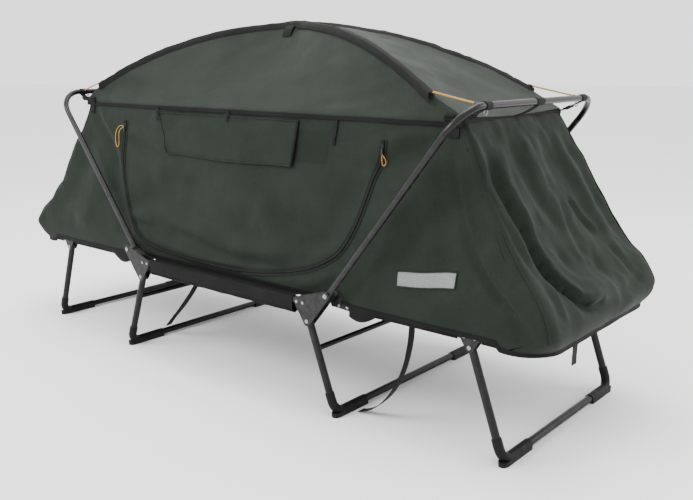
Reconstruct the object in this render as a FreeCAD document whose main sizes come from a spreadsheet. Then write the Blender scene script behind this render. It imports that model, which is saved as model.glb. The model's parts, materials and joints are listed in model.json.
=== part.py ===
import FreeCAD, Part
import os, math

# Folding tent cot. Millimetres. +X runs along the bed, -Y is the front (door) side, +Z is up.
# Origin: on the ground, under the middle of the bed.
V = FreeCAD.Vector
doc = FreeCAD.newDocument("tent_cot")

# ---------------------------------------------------------------- driving dimensions
sheet = doc.addObject("Spreadsheet::Sheet", "Dims")
DIMS = dict(
    legtube=11.0, bowtube=9.0, wall=1.2, plate=1.5, pinrad=4.0, rivetrad=3.0, fixrad=2.5, runfit=0.05,
    hingex=456.7, hingez=356.0, railz=322.0, railhalf=425.0,
    midplane=370.0, bowplane=347.8, endplane=324.2,
    leftbowlen=667.4, rightbowlen=679.4, bowlean=38.44, bowbend=90.0,
    legbend=35.0, overhang=11.0,
    midpivx=387.0, midpivz=270.0, midfootx=482.0, endpivx=895.5, endpivz=295.0, endfootx=996.0, footz=14.0,
    braceat=83.0, bracerad=8.0,
    endstart=438.0, endcross=1072.0, endbend=100.0,
    bootrad=13.5, bootalong=135.0, bootup=60.0,
    slingtop=335.0, slingthick=1.6,
    tentbasez=337.0, tentbasehalf=337.0, tentbaselen=1105.0, tenttopz=850.0, tenttophalf=260.0, tenttoplen=812.0,
    cloth=2.0, polerad=4.5, apexz=1105.0, flyx=700.0, flyy=268.0, flyz=918.0,
    cordrad=2.5,
)
for n, (key, value) in enumerate(DIMS.items(), 1):
    sheet.set("A%d" % n, key)
    sheet.set("B%d" % n, repr(value))
    sheet.setAlias("B%d" % n, key)
doc.recompute()


def S(key):
    return float(sheet.get(key))


kept = {}   # node name -> document object


def bind(o, **props):
    for k, e in props.items():
        if isinstance(e, str):
            o.setExpression(k, e)
        else:
            setattr(o, k, e)
    return o


def place(o, at=(0, 0, 0), rot=None):
    o.Placement = FreeCAD.Placement(V(*[0 if isinstance(c, str) else c for c in at]), rot or FreeCAD.Rotation())
    for axis, c in zip("xyz", at):
        if isinstance(c, str):
            o.setExpression(".Placement.Base." + axis, c)
    return o


ALONG_Y = FreeCAD.Rotation(V(1, 0, 0), -90)     # a cylinder that stands along +Y
ALONG_X = FreeCAD.Rotation(V(0, 1, 0), 90)      # and one along +X
BEND = FreeCAD.Rotation(V(1, 1, 1), 120)        # a ring that lies in the YZ plane
count = [0]


def new(kind, name=None):
    count[0] += 1
    return doc.addObject(kind, name or "f%03d" % count[0])


def cyl(r, length, at=(0, 0, 0), rot=None):
    return place(bind(new("Part::Cylinder"), Radius=r, Height=length), at, rot)


def box(dx, dy, dz, at):
    return place(bind(new("Part::Box"), Length=dx, Width=dy, Height=dz), at)


def fuse(*shapes):
    o = new("Part::MultiFuse")
    o.Shapes = list(shapes)
    return o


def cut(base, tool):
    o = new("Part::Cut")
    o.Base, o.Tool = base, tool
    return o


def common(*shapes):
    o = new("Part::MultiCommon")
    o.Shapes = list(shapes)
    return o


def mirror(source, normal):
    o = new("Part::Mirroring")
    o.Source, o.Normal, o.Base = source, V(*normal), V(0, 0, 0)
    return o


def group(*shapes):
    o = new("Part::Compound")
    o.Links = list(shapes)
    return o


def keep(name, o):
    o.Label = name
    kept[name] = o
    return o


def both_sides(o):
    return group(o, mirror(o, (0, 1, 0)))


def four(o):
    a = group(o, mirror(o, (0, 1, 0)))
    return group(a, mirror(a, (1, 0, 0)))


# ---------------------------------------------------------------- bent tube frames
def u_bar(r, half, length, bend, over):
    """A U of round bar in its own frame: legs along +Z from -over, crossbar along Y at Z = length."""
    parts = []
    for s in (1, -1):
        parts.append(cyl(r, "%s - %s + %s" % (length, bend, over), (0, "%d * (%s)" % (s, half), "-(%s)" % over)))
        t = bind(new("Part::Torus"), Radius1=bend, Radius2=r, Angle3=90.0)
        rot = BEND if s > 0 else FreeCAD.Rotation(V(1, 0, 0), 90).multiply(BEND)
        parts.append(place(t, (0, "%d * (%s - %s)" % (s, half, bend), "%s - %s" % (length, bend)), rot))
    parts.append(cyl(r, "2 * (%s - %s)" % (half, bend), (0, "-(%s - %s)" % (half, bend), length), ALONG_Y))
    return parts


def u_tube(r, half, length, bend, over, brace=None, holes=()):
    """The same U as a hollow tube, with an optional welded brace and cross holes."""
    inner_r = "%s - Dims.wall" % r
    shell = fuse(*u_bar(r, half, length, bend, over))
    if brace:
        rung = cyl(brace[1], "2 * (%s) - 4" % half, (0, "-(%s) + 2" % half, brace[0]), ALONG_Y)
        shell = fuse(shell, rung)
    core = u_bar(inner_r, half, length, bend, "%s + 1" % over)
    tool = fuse(*core)
    body = cut(shell, tool)
    for at, rad in holes:
        body = cut(body, cyl(rad, 900.0, (0, -450.0, at), ALONG_Y))
    return body


def lean(x, z, angle, y=0.0):
    return FreeCAD.Placement(V(x, y, z), FreeCAD.Rotation(V(0, 1, 0), angle))


def set_on(o, x, z, angle):
    g = new("Part::Compound")
    g.Links = [o]
    g.Placement = lean(S(x[1:]) * (-1 if x[0] == "-" else 1), S(z), angle)
    g.setExpression(".Placement.Base.x", ("-" if x[0] == "-" else "") + "Dims." + x[1:])
    g.setExpression(".Placement.Base.z", "Dims." + z)
    return g


mid_len = math.hypot(S("midfootx") - S("midpivx"), S("midpivz") - S("footz"))
mid_lean = math.degrees(math.atan2(S("midfootx") - S("midpivx"), S("footz") - S("midpivz")))
end_len = math.hypot(S("endfootx") - S("endpivx"), S("endpivz") - S("footz"))
end_lean = math.degrees(math.atan2(S("endfootx") - S("endpivx"), S("footz") - S("endpivz")))
MID_LEN = "sqrt((Dims.midfootx - Dims.midpivx)^2 + (Dims.midpivz - Dims.footz)^2)"
END_LEN = "sqrt((Dims.endfootx - Dims.endpivx)^2 + (Dims.endpivz - Dims.footz)^2)"
PIN = "Dims.pinrad + Dims.runfit"
RIVET = "Dims.rivetrad + Dims.runfit"

for side, s in (("left", "-"), ("right", "+")):
    sg = -1 if s == "-" else 1
    leg = u_tube("Dims.legtube", "Dims.midplane", MID_LEN, "Dims.legbend", "Dims.overhang",
                 brace=("Dims.braceat", "Dims.bracerad"), holes=[(0.0, RIVET)])
    keep(side + "_mid_leg_frame", set_on(leg, s + "midpivx", "midpivz", sg * mid_lean))
    leg = u_tube("Dims.legtube", "Dims.endplane", END_LEN, "Dims.legbend", "Dims.overhang", holes=[(0.0, RIVET)])
    keep(side + "_end_leg_frame", set_on(leg, s + "endpivx", "endpivz", sg * end_lean))
    plane = "Dims.bowplane" if side == "left" else "Dims.midplane"
    bow = u_tube("Dims.bowtube", plane, "Dims.%sbowlen" % side, "Dims.bowbend", "Dims.overhang", holes=[(0.0, PIN)])
    keep(side + "_tent_bow", set_on(bow, s + "hingex", "hingez", sg * S("bowlean")))
    rail = u_tube("Dims.legtube", "Dims.endplane", "Dims.endcross - Dims.endstart", "Dims.endbend", "0")
    # holes for the leg brackets' and hinge lugs' fixing rivets
    for x in (880.0, 911.0, 470.0, 500.0):
        rail = cut(rail, cyl("Dims.fixrad", 900.0, (0, -450.0, x - S("endstart")), ALONG_Y))
    keep(side + "_end_rail", set_on(rail, s + "endstart", "railz", sg * 90.0))

# ---------------------------------------------------------------- straight centre rails
tube = cut(cyl("Dims.legtube", "2 * Dims.railhalf", ("-Dims.railhalf", "-Dims.midplane", "Dims.railz"), ALONG_X),
           cyl("Dims.legtube - Dims.wall", "2 * Dims.railhalf + 2", ("-Dims.railhalf - 1", "-Dims.midplane", "Dims.railz"), ALONG_X))
for x in (348.0, 372.0, -348.0, -372.0):
    tube = cut(tube, cyl("Dims.fixrad", 60.0, (x, -400.0, "Dims.railz"), ALONG_Y))
keep("centre_rails", both_sides(tube))


# ---------------------------------------------------------------- pressed plates
def tangents(circles):
    """Straight edges and arcs round the outside of circles given counter-clockwise as (x, z, r)."""
    n, lines = len(circles), []
    for i in range(n):
        (x1, y1, r1), (x2, y2, r2) = circles[i], circles[(i + 1) % n]
        d = math.hypot(x2 - x1, y2 - y1)
        base = math.atan2(y2 - y1, x2 - x1)
        a = base - math.acos((r1 - r2) / d)
        lines.append(((x1 + r1 * math.cos(a), y1 + r1 * math.sin(a)), (x2 + r2 * math.cos(a), y2 + r2 * math.sin(a)), a))
    return lines


def plate(name, circles, holes, thick, y):
    """A PartDesign body: one flat pressed plate in the XZ plane, from y to y - thick."""
    b = doc.addObject("PartDesign::Body", name)
    sk = b.newObject("Sketcher::SketchObject", name + "_outline")
    xz = [f for f in b.Origin.OriginFeatures if f.Role == "XZ_Plane"][0]
    sk.AttachmentSupport = [(xz, "")]
    sk.MapMode = "FlatFace"
    lines = tangents(circles)
    for i, (p, q, a) in enumerate(lines):
        sk.addGeometry(Part.LineSegment(V(p[0], p[1], 0), V(q[0], q[1], 0)))
        x, z, r = circles[(i + 1) % len(circles)]
        a2 = lines[(i + 1) % len(lines)][2]
        while a2 <= a:
            a2 += 2 * math.pi
        while a2 > a + 2 * math.pi:
            a2 -= 2 * math.pi
        sk.addGeometry(Part.ArcOfCircle(Part.Circle(V(x, z, 0), V(0, 0, 1), r), a, a2))
    for x, z, e in holes:
        g = sk.addGeometry(Part.Circle(V(x, z, 0), V(0, 0, 1), 2.0))
        import Sketcher
        c = sk.addConstraint(Sketcher.Constraint("Radius", g, 2.0))
        sk.setExpression("Constraints[%d]" % c, e)
    pad = b.newObject("PartDesign::Pad", name + "_pad")
    pad.Profile = sk
    pad.setExpression("Length", thick)
    b.Tip = pad
    b.Placement.Base = V(0, y, 0)
    return b


HX, HZ = S("hingex"), S("hingez")
gusset = [(S("midpivx"), S("midpivz"), 14.0), (HX, HZ, 14.0), (350.0, 324.0, 13.0)]
gusset_holes = [(HX, HZ, PIN), (S("midpivx"), S("midpivz"), RIVET), (348.0, S("railz"), "Dims.fixrad"), (372.0, S("railz"), "Dims.fixrad")]
outer = plate("gusset_outer", gusset, gusset_holes, "Dims.plate", -(S("midplane") + S("legtube") + 0.2))
keep("outer_bracket_plates", four(outer))
inner = plate("gusset_inner", gusset, gusset_holes, "Dims.plate", -(S("midplane") - S("legtube") - 0.2 - S("plate")))
keep("inner_bracket_plates", four(inner))

lug = [(448.0, 325.0, 9.0), (503.0, 322.0, 9.5), (HX, HZ, 10.0)]
lug_holes = [(HX, HZ, PIN), (470.0, S("railz"), "Dims.fixrad"), (500.0, S("railz"), "Dims.fixrad")]
ep, lt, pt = S("endplane"), S("legtube"), S("plate")
lug_a = plate("lug_outer", lug, lug_holes, "Dims.plate", -(ep + lt + 0.2))
lug_b = plate("lug_inner", lug, lug_holes, "Dims.plate", -(ep - lt - 0.2 - pt))
bracket = [(S("endpivx"), S("endpivz"), 12.0), (915.0, 322.0, 9.5), (876.0, 322.0, 9.5)]
bracket_holes = [(S("endpivx"), S("endpivz"), RIVET), (880.0, S("railz"), "Dims.fixrad"), (911.0, S("railz"), "Dims.fixrad")]
br_a = plate("bracket_outer", bracket, bracket_holes, "Dims.plate", -(ep + lt + 0.2))
br_b = plate("bracket_inner", bracket, bracket_holes, "Dims.plate", -(ep - lt - 0.2 - pt))
right_lugs = group(both_sides(lug_a), both_sides(lug_b))
right_brackets = group(both_sides(br_a), both_sides(br_b))
keep("right_hinge_lugs", right_lugs)
keep("right_leg_brackets", right_brackets)
keep("left_hinge_lugs", mirror(right_lugs, (1, 0, 0)))
keep("left_leg_brackets", mirror(right_brackets, (1, 0, 0)))


# ---------------------------------------------------------------- pins, rivets and bushes
def pin(x, z, rad, y0, y1, head, headlen):
    """A headed pin along Y from y0 to y1 (both negative, y0 the outer end), heads included."""
    return fuse(cyl(rad, y1 - y0, (x, y0, z), ALONG_Y), cyl(head, headlen, (x, y0, z), ALONG_Y),
                cyl(head, headlen, (x, y1 - headlen, z), ALONG_Y))


out_face = S("midplane") + lt + 0.2 + pt
keep("main_pivot_pins", four(pin(HX, HZ, "Dims.pinrad", -(out_face + 1.6), -(ep - lt - 0.2 - pt - 1.5), 7.0, 1.4)))
keep("mid_leg_pivot_pins", four(pin(S("midpivx"), S("midpivz"), "Dims.rivetrad", -(out_face + 1.5), -(S("midplane") - lt - 0.2 - pt - 1.4), 6.0, 1.3)))
rail_rivets = group(*[pin(x, S("railz"), "Dims.fixrad", -(out_face + 1.4), -(S("midplane") - lt - 0.2 - pt - 1.4), 4.5, 1.4) for x in (348.0, 372.0)])
keep("bracket_rivets", four(rail_rivets))
end_out, end_in = ep + lt + 0.2 + pt, ep - lt - 0.2 - pt
right_fix = group(*[both_sides(pin(x, S("railz"), "Dims.fixrad", -(end_out + 1.4), -(end_in - 1.4), 4.5, 1.4)) for x in (470.0, 500.0, 880.0, 911.0)])
right_legpins = both_sides(pin(S("endpivx"), S("endpivz"), "Dims.rivetrad", -(end_out + 1.4), -(end_in - 1.4), 5.5, 1.3))


def bush(x, y0, y1):
    return cut(cyl(7.0, y1 - y0, (x, y0, HZ), ALONG_Y), cyl(PIN, y1 - y0 + 2, (x, y0 - 1, HZ), ALONG_Y))


# spacers that fill the pin where no bow stands: outside on the left, inside on the right
left_bush = both_sides(bush(-HX, -(S("midplane") + lt), -(S("midplane") - lt)))
right_bush = both_sides(bush(HX, -(S("midplane") - lt - 0.4 - pt), -(ep + lt + 0.4 + pt)))
keep("pin_spacers", group(left_bush, right_bush))
# spacers between the two lugs of each end rail
lug_bush = both_sides(cut(cyl(6.5, 2 * lt, (HX, -(ep + lt), HZ), ALONG_Y), cyl(PIN, 2 * lt + 2, (HX, -(ep + lt + 1), HZ), ALONG_Y)))
right_fasteners = group(right_fix, right_legpins, lug_bush)
keep("right_end_fasteners", right_fasteners)
keep("left_end_fasteners", mirror(right_fasteners, (1, 0, 0)))


# ---------------------------------------------------------------- moulded foot boots
def boot(length, angle, half, pivx, pivz, footx):
    """A moulded corner shoe: up the leg, round the bend, along the ground bar, with a flat sole."""
    def run(r, more):
        t = place(bind(new("Part::Torus"), Radius1="Dims.legbend", Radius2=r, Angle3=90.0),
                  (0, half - S("legbend"), length - S("legbend")), BEND)
        up = cyl(r, "Dims.bootup - Dims.legbend + %g" % more, (0, half, length - S("bootup") - more))
        along = cyl(r, "Dims.bootalong - Dims.legbend + %g" % more, (0, half - S("bootalong") - more, length), ALONG_Y)
        f = fuse(up, t, along)
        g = new("Part::Compound")
        g.Links = [f]
        g.Placement = lean(pivx, pivz, angle)
        return g
    w = S("bootrad")
    sole = box(2 * w, S("bootalong") - 6.0, S("footz"), (footx - w, half - S("bootalong"), 0))
    toe = bind(new("Part::Cone"), Radius1=w - 1.5, Radius2=w - 0.5, Height=S("footz"))
    toe.Placement.Base = V(footx, half - 6.0 + 2.0, 0)
    solid = fuse(run("Dims.bootrad", 0), sole, toe)
    b = cut(solid, run("Dims.legtube + 0.05", 2))
    return both_sides(b)


mid_boots = boot(mid_len, mid_lean, S("midplane"), S("midpivx"), S("midpivz"), S("midfootx"))
end_boots = boot(end_len, end_lean, S("endplane"), S("endpivx"), S("endpivz"), S("endfootx"))
keep("right_mid_feet", mid_boots)
keep("right_end_feet", end_boots)
keep("left_mid_feet", mirror(mid_boots, (1, 0, 0)))
keep("left_end_feet", mirror(end_boots, (1, 0, 0)))

# ---------------------------------------------------------------- bed slings
top, th = S("slingtop"), S("slingthick")
mp = S("midplane")
deck = fuse(box(660.0, "2 * Dims.midplane", th, (-330.0, -mp, top - th)),
            box(848.0, 708.0, th, (-424.0, -354.0, top - th)))


def sleeve(x0, x1, sgn):
    w, h = 26.0, 52.0
    o = box(x1 - x0, w, h, (x0, sgn * mp - w / 2, top - h))
    i = box(x1 - x0 + 2, w - 2.6, h - 2.8, (x0 - 1, sgn * mp - w / 2 + 1.3, top - h + 1.3))
    return cut(o, i)


keep("centre_sling", fuse(deck, sleeve(-330.0, 330.0, 1), sleeve(-330.0, 330.0, -1)))


def end_sling():
    a = box(70.0, 600.0, th, (433.0, -300.0, top - th))
    b = box("Dims.endcross - Dims.endbend - 520", 2 * (ep + 11.2), th, (520.0, -(ep + 11.2), top - th))
    n = box(20.0, 600.0, th, (501.0, -300.0, top - th))
    r = S("endbend") + 11.2
    corner = []
    cx, cy = S("endcross") - S("endbend"), ep - S("endbend")
    for s in (1, -1):
        corner.append(cyl(r, th, (cx, s * cy, top - th)))
        band = cut(cyl(r + 1.3, 24.0, (cx, s * cy, top - 24.0)), cyl(r, 26.0, (cx, s * cy, top - 25.0)))
        quarter = box(r + 5, r + 5, 40.0, (cx, cy if s > 0 else -cy - r - 5, top - 37.0))
        corner.append(common(band, quarter))
        for x0, x1 in ((520.0, 860.0), (930.0, cx)):
            corner.append(box(x1 - x0, 1.3, 24.0, (x0, ep + 11.2 if s > 0 else -(ep + 12.5), top - 24.0)))
            corner.append(box(x1 - x0, 1.5, th, (x0, ep + 11.0 if s > 0 else -(ep + 12.5), top - th)))
    corner.append(box(S("endbend") + 11.2, 2 * cy, th, (cx, -cy, top - th)))
    corner.append(box(1.3, 2 * cy, 24.0, (cx + r, -cy, top - 24.0)))
    return fuse(a, n, b, *corner)


right_sling = end_sling()
keep("right_sling", right_sling)
keep("left_sling", mirror(right_sling, (1, 0, 0)))


# ---------------------------------------------------------------- tent body
def ring(halfx, halfy, r, z):
    """A rounded rectangle outline at height z."""
    edges = []
    k = math.sqrt(0.5)
    for sx, sy, ax, ay in ((1, -1, 0, -1), (1, 1, 1, 0), (-1, 1, 0, 1), (-1, -1, -1, 0)):
        c = V(sx * (halfx - r), sy * (halfy - r), z)
        a0 = c + V(ax * r, ay * r, 0)
        a1 = c + V(-ay * r, ax * r, 0)
        mid = c + V(sx * r * k, sy * r * k, 0)
        edges.append((a0, mid, a1))
    out = []
    for i, (a, m, b) in enumerate(edges):
        out.append(Part.Arc(a, m, b).toShape())
        out.append(Part.LineSegment(b, edges[(i + 1) % 4][0]).toShape())
    return Part.Wire(out)


def outline(name, halfx, halfy, r, z):
    o = doc.addObject("Part::Feature", name)
    o.Shape = ring(halfx, halfy, r, z)
    return o


def loft(name, inset):
    lo = outline(name + "_base", S("tentbaselen") - inset, S("tentbasehalf") - inset, 110.0 - inset, S("tentbasez"))
    hi = outline(name + "_head", S("tenttoplen") - inset, S("tenttophalf") - inset, 14.0 - inset, S("tenttopz"))
    o = doc.addObject("Part::Loft", name)
    o.Sections = [lo, hi]
    o.Solid, o.Ruled = True, True
    return o


tent_wall = cut(loft("tent_outer", 0.0), loft("tent_inner", S("cloth")))
# cut-outs at the bottom edge where the hinge pins and lugs pass
for sx in (1, -1):
    for sy in (1, -1):
        tent_wall = cut(tent_wall, box(96.0, 60.0, 34.0, (sx * 466.0 - 48.0, sy * 330.0 - 30.0, 334.0)))

DOOR = [(-575, 798), (-578, 683), (-560, 580), (-522, 478), (-462, 402), (-394, 374), (-256, 359), (90, 352),
        (305, 390), (424, 440), (478, 490), (518, 581), (545, 678), (572, 761), (575, 798)]
WINDOW = [(-370, 812), (-318, 705), (372, 705), (380, 812)]
FLAP = [(-391, 822), (-334, 690), (240, 690), (254, 822)]


def prism(points, name, grow=0.0, y0=-420.0, y1=0.0):
    """A block with the outline of points (x, z), from y0 to y1, its outline moved out by grow."""
    n = len(points)
    area = sum(points[i][0] * points[(i + 1) % n][1] - points[(i + 1) % n][0] * points[i][1] for i in range(n))
    s = 1 if area > 0 else -1
    out = []
    for i in range(n):
        p0, p1, p2 = points[i - 1], points[i], points[(i + 1) % n]
        u = V(p1[0] - p0[0], p1[1] - p0[1], 0).normalize()
        w = V(p2[0] - p1[0], p2[1] - p1[1], 0).normalize()
        n1, n2 = V(u.y, -u.x, 0) * s, V(w.y, -w.x, 0) * s
        b = n1 + n2
        b = b * (1.0 / max(b.dot(n1), 0.3))
        out.append(V(p1[0] + grow * b.x, y0, p1[1] + grow * b.y))
    o = doc.addObject("Part::Feature", name)
    o.Shape = Part.Face(Part.makePolygon(out + [out[0]])).extrude(V(0, y1 - y0, 0))
    return o


def spin(o):
    """The same piece turned half a turn about Z, for the far side."""
    g = new("Part::Compound")
    g.Links = [o]
    g.Placement = FreeCAD.Placement(V(0, 0, 0), FreeCAD.Rotation(V(0, 0, 1), 180))
    return g


door_out = prism(DOOR, "door_cut", 1.2)
tent_open = cut(cut(tent_wall, door_out), spin(door_out))
door_panel = common(tent_wall, prism(DOOR, "door_cloth", -0.4))
front_door = cut(door_panel, prism(WINDOW, "window_cut"))
front_mesh = common(door_panel, prism(WINDOW, "window_mesh", -0.5))
hx = HX
front_wall = common(tent_open, box(2 * hx - 1, 400.0, 700.0, (-hx + 0.5, -400.0, 300.0)))
back_wall = common(tent_open, box(2 * hx - 1, 400.0, 700.0, (-hx + 0.5, 0.0, 300.0)))
right_hood = common(tent_open, box(700.0, 800.0, 700.0, (hx + 0.5, -400.0, 300.0)))
left_hood = common(tent_open, box(700.0, 800.0, 700.0, (-hx - 700.5, -400.0, 300.0)))
keep("front_wall", front_wall)
keep("back_wall", back_wall)
keep("right_tent_end", right_hood)
keep("left_tent_end", left_hood)
keep("front_door", front_door)
keep("back_door", spin(front_door))
keep("front_window_mesh", front_mesh)
keep("back_window_mesh", spin(front_mesh))

# window flap: a sheet just outside the door, hanging from a piped top edge
slope = (S("tentbasehalf") - S("tenttophalf")) / (S("tenttopz") - S("tentbasez"))


def wall_y(z):
    return -(S("tentbasehalf") - slope * (z - S("tentbasez")))


FLAP_Z, FLAP_OFF = 824.0, 6.0
flap_solid = doc.addObject("Part::Feature", "flap_sheet")
pts = []
for off in (2.5, 4.0):
    pts.append([V(x, wall_y(z) - off, z) for x, z in FLAP])
a, b = pts
faces = [Part.Face(Part.makePolygon([a[0], a[1], a[2], a[3], a[0]])), Part.Face(Part.makePolygon([b[0], b[1], b[2], b[3], b[0]]))]
for i in range(4):
    j = (i + 1) % 4
    faces.append(Part.Face(Part.makePolygon([a[i], a[j], b[j], b[i], a[i]])))
flap_solid.Shape = Part.makeSolid(Part.makeShell(faces))
flap_pipe = cyl(2.2, 645.0, (-391.0, wall_y(822.0) - 3.4, 822.0), ALONG_X)
front_flap = fuse(flap_solid, flap_pipe)
keep("front_window_flap", front_flap)
keep("back_window_flap", spin(front_flap))


# ---------------------------------------------------------------- fly (roof)
def arc_z(x):
    """Height of the pole line over |x|: a circular arc in the upright plane through the diagonal."""
    half = math.hypot(S("flyx"), S("flyy"))
    rise = S("apexz") - S("flyz")
    rad = (half ** 2 + rise ** 2) / (2 * rise)
    d = abs(x) / S("flyx") * half
    return S("apexz") - rad + math.sqrt(rad ** 2 - d ** 2)


def fly_section(x, inset):
    """Four corners of the fly across the bed at x: hem, pole, pole, hem."""
    ax = abs(x)
    hem_z = S("tenttopz") + 1.5
    if ax <= S("flyx"):
        py = max(S("flyy") * ax / S("flyx") + 12.0, 26.0)
        pz = arc_z(ax)
        hy = S("tenttophalf") + 4.0
    else:
        k = (ax - S("flyx")) / (S("tenttoplen") + 2.0 - S("flyx"))
        py = S("flyy") + 12.0 - 16.0 * k
        pz = S("flyz") - (S("flyz") - hem_z - 5.0) * k
        hy = S("tenttophalf") + 4.0
    py, hy, pz = py - inset, hy - inset, pz - inset
    hz = hem_z
    return [V(x, -hy, hz), V(x, -py, pz), V(x, py, pz), V(x, hy, hz)]


def tri(a, b, c):
    return Part.Face(Part.makePolygon([a, b, c, a]))


def fly_piece(name, stations):
    th = S("cloth")
    outer_s = [fly_section(x, 0.0) for x in stations]
    inner_s = [fly_section(x, th) for x in stations]
    faces = []
    for i in range(len(stations) - 1):
        for sec in (outer_s, inner_s):
            for k in range(3):
                p, q, r, t = sec[i][k], sec[i][k + 1], sec[i + 1][k + 1], sec[i + 1][k]
                faces += [tri(p, q, r), tri(p, r, t)]
        for k in (0, 3):
            p, q, r, t = outer_s[i][k], inner_s[i][k], inner_s[i + 1][k], outer_s[i + 1][k]
            faces += [tri(p, q, r), tri(p, r, t)]
    for i in (0, len(stations) - 1):
        for k in range(3):
            p, q, r, t = outer_s[i][k], outer_s[i][k + 1], inner_s[i][k + 1], inner_s[i][k]
            faces += [tri(p, q, r), tri(p, r, t)]
    o = doc.addObject("Part::Feature", name)
    shape = Part.makeSolid(Part.makeShell(faces))
    if shape.Volume < 0:
        shape.reverse()
    o.Shape = shape
    return o


keep("centre_fly", fly_piece("fly_mid", [-hx + 0.5, -380, -300, -220, -140, -60, 0, 60, 140, 220, 300, 380, hx - 0.5]))
ends = [hx + 0.5, 520, 590, 650, 700, 760, 812]
keep("right_fly_end", fly_piece("fly_right", ends))
keep("left_fly_end", fly_piece("fly_left", [-x for x in ends]))


# ---------------------------------------------------------------- roof poles: two crossing hoops, each in three ferruled lengths
half_diag = math.hypot(S("flyx"), S("flyy"))
yaw = math.degrees(math.atan2(S("flyy"), S("flyx")))


def hoop(drop, a0, a1, turn):
    """Part of a circular pole in the upright plane at turn degrees from X; angles from straight up, + towards +X."""
    rise = S("apexz") - S("flyz")
    rad = (half_diag ** 2 + rise ** 2) / (2 * rise)
    t = bind(new("Part::Torus"), Radius1=rad - drop, Radius2="Dims.polerad", Angle3=abs(a1 - a0))
    # ring in the XZ plane: angle 0 along +X and 90 along +Z
    upright = FreeCAD.Rotation(V(1, 0, 0), 90)
    start = FreeCAD.Rotation(V(0, 0, 1), 90.0 - max(a0, a1))
    rot = FreeCAD.Rotation(V(0, 0, 1), turn).multiply(upright).multiply(start)
    t.Placement = FreeCAD.Placement(V(0, 0, S("apexz") - rad), rot)
    return t


RADP = (half_diag ** 2 + (S("apexz") - S("flyz")) ** 2) / (2 * (S("apexz") - S("flyz")))
seam = math.degrees(math.asin((hx + 0.0) * half_diag / S("flyx") / RADP))
tip = math.degrees(math.asin((half_diag - 34.0) / RADP))
gap = 0.02
drops = (("a", 9.5, yaw), ("b", 19.5, -yaw))
keep("centre_roof_poles", group(*[hoop(d, -seam + gap, seam - gap, t) for _, d, t in drops]))
keep("right_roof_poles", group(*[hoop(d, seam + gap, tip, t) for _, d, t in drops]))
keep("left_roof_poles", group(*[hoop(d, -tip, -seam - gap, t) for _, d, t in drops]))


# ---------------------------------------------------------------- cords, hooks, straps and trim
def rod(p, q, r):
    """A straight round rod from point p to point q."""
    d = V(*q) - V(*p)
    o = bind(new("Part::Cylinder"), Radius=r, Height=d.Length)
    o.Placement = FreeCAD.Placement(V(*p), FreeCAD.Rotation(V(0, 0, 1), d))
    return o


def bow_point(side, along, y=0.0):
    """A point on the bow's own plane: along the leg line from its pivot."""
    s = -1 if side == "left" else 1
    a = math.radians(S("bowlean"))
    return (s * (HX + along * math.sin(a)), y, HZ + along * math.cos(a))


for side, s, length, plane in (("left", -1, S("leftbowlen"), S("bowplane")), ("right", 1, S("rightbowlen"), S("midplane"))):
    # webbing collars on the bow's corners carry the cords and hooks
    k = S("bowbend")
    c = bow_point(side, length)
    collars = []
    for sy in (1, -1):
        y0 = sy * (plane - k - 6.0)
        start = y0 - 13.0 - sy * 7.4
        o = cyl(11.0, 26.0, (c[0], start, c[2]), ALONG_Y)
        i = cyl(9.1, 30.0, (c[0], start - 2.0, c[2]), ALONG_Y)
        collars.append(cut(o, i))
    for sy, where in ((-1, "front"), (1, "back")):
        y0 = sy * (plane - k - 6.0)
        p = V(s * S("flyx") - s * 2.0, sy * (S("flyy") + 1.0), S("flyz") + 4.0)
        q = V(c[0], y0, c[2])
        d = (q - p)
        d.normalize()
        a, b = p + d * 8.0, q - d * 13.5
        keep("%s_%s_tension_cord" % (side, where), rod(tuple(a), tuple(b), "Dims.cordrad"))
    # flat end-wall loop at the middle of the crossbar
    o = cyl(10.6, 40.0, (c[0], -20.0, c[2]), ALONG_Y)
    i = cyl(9.1, 44.0, (c[0], -22.0, c[2]), ALONG_Y)
    keep(side + "_bow_collars", group(*collars, cut(o, i)))

# zip tapes: a narrow raised track round each door
zip_out = prism(DOOR, "zip_outer", 7.0, -420.0, 0.0)
zip_in = prism(DOOR, "zip_inner", -7.0, -421.0, 1.0)
track = cut(zip_out, zip_in)
skin = cut(loft("zip_skin_outer", -2.2), loft("zip_skin_inner", -0.4))
front_zip = cut(common(skin, track), box(1300.0, 500.0, 60.0, (-650.0, -450.0, 790.0)))
keep("front_zip", front_zip)
keep("back_zip", spin(front_zip))


def slider(x, z):
    y = wall_y(z)
    body_ = box(9.0, 6.0, 12.0, (x - 4.5, y - 9.8, z - 6.0))
    pull = box(5.0, 1.6, 24.0, (x - 2.5, y - 11.0, z - 28.0))
    return fuse(body_, pull)


sliders = group(slider(-576.0, 770.0), slider(571.0, 770.0))
keep("front_zip_sliders", sliders)
keep("back_zip_sliders", spin(sliders))

# blank sewn patch on the front, right of the door
patch = doc.addObject("Part::Feature", "patch_sheet")
P = [(664, 403), (848, 403), (848, 478), (664, 478)]
a = [V(x, wall_y(z) - 0.5, z) for x, z in P]
b = [V(x, wall_y(z) - 1.5, z) for x, z in P]
faces = [Part.Face(Part.makePolygon(a + [a[0]])), Part.Face(Part.makePolygon(b + [b[0]]))]
for i in range(4):
    j = (i + 1) % 4
    faces.append(Part.Face(Part.makePolygon([a[i], a[j], b[j], b[i], a[i]])))
patch.Shape = Part.makeSolid(Part.makeShell(faces))
keep("plain_patch", patch)


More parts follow.
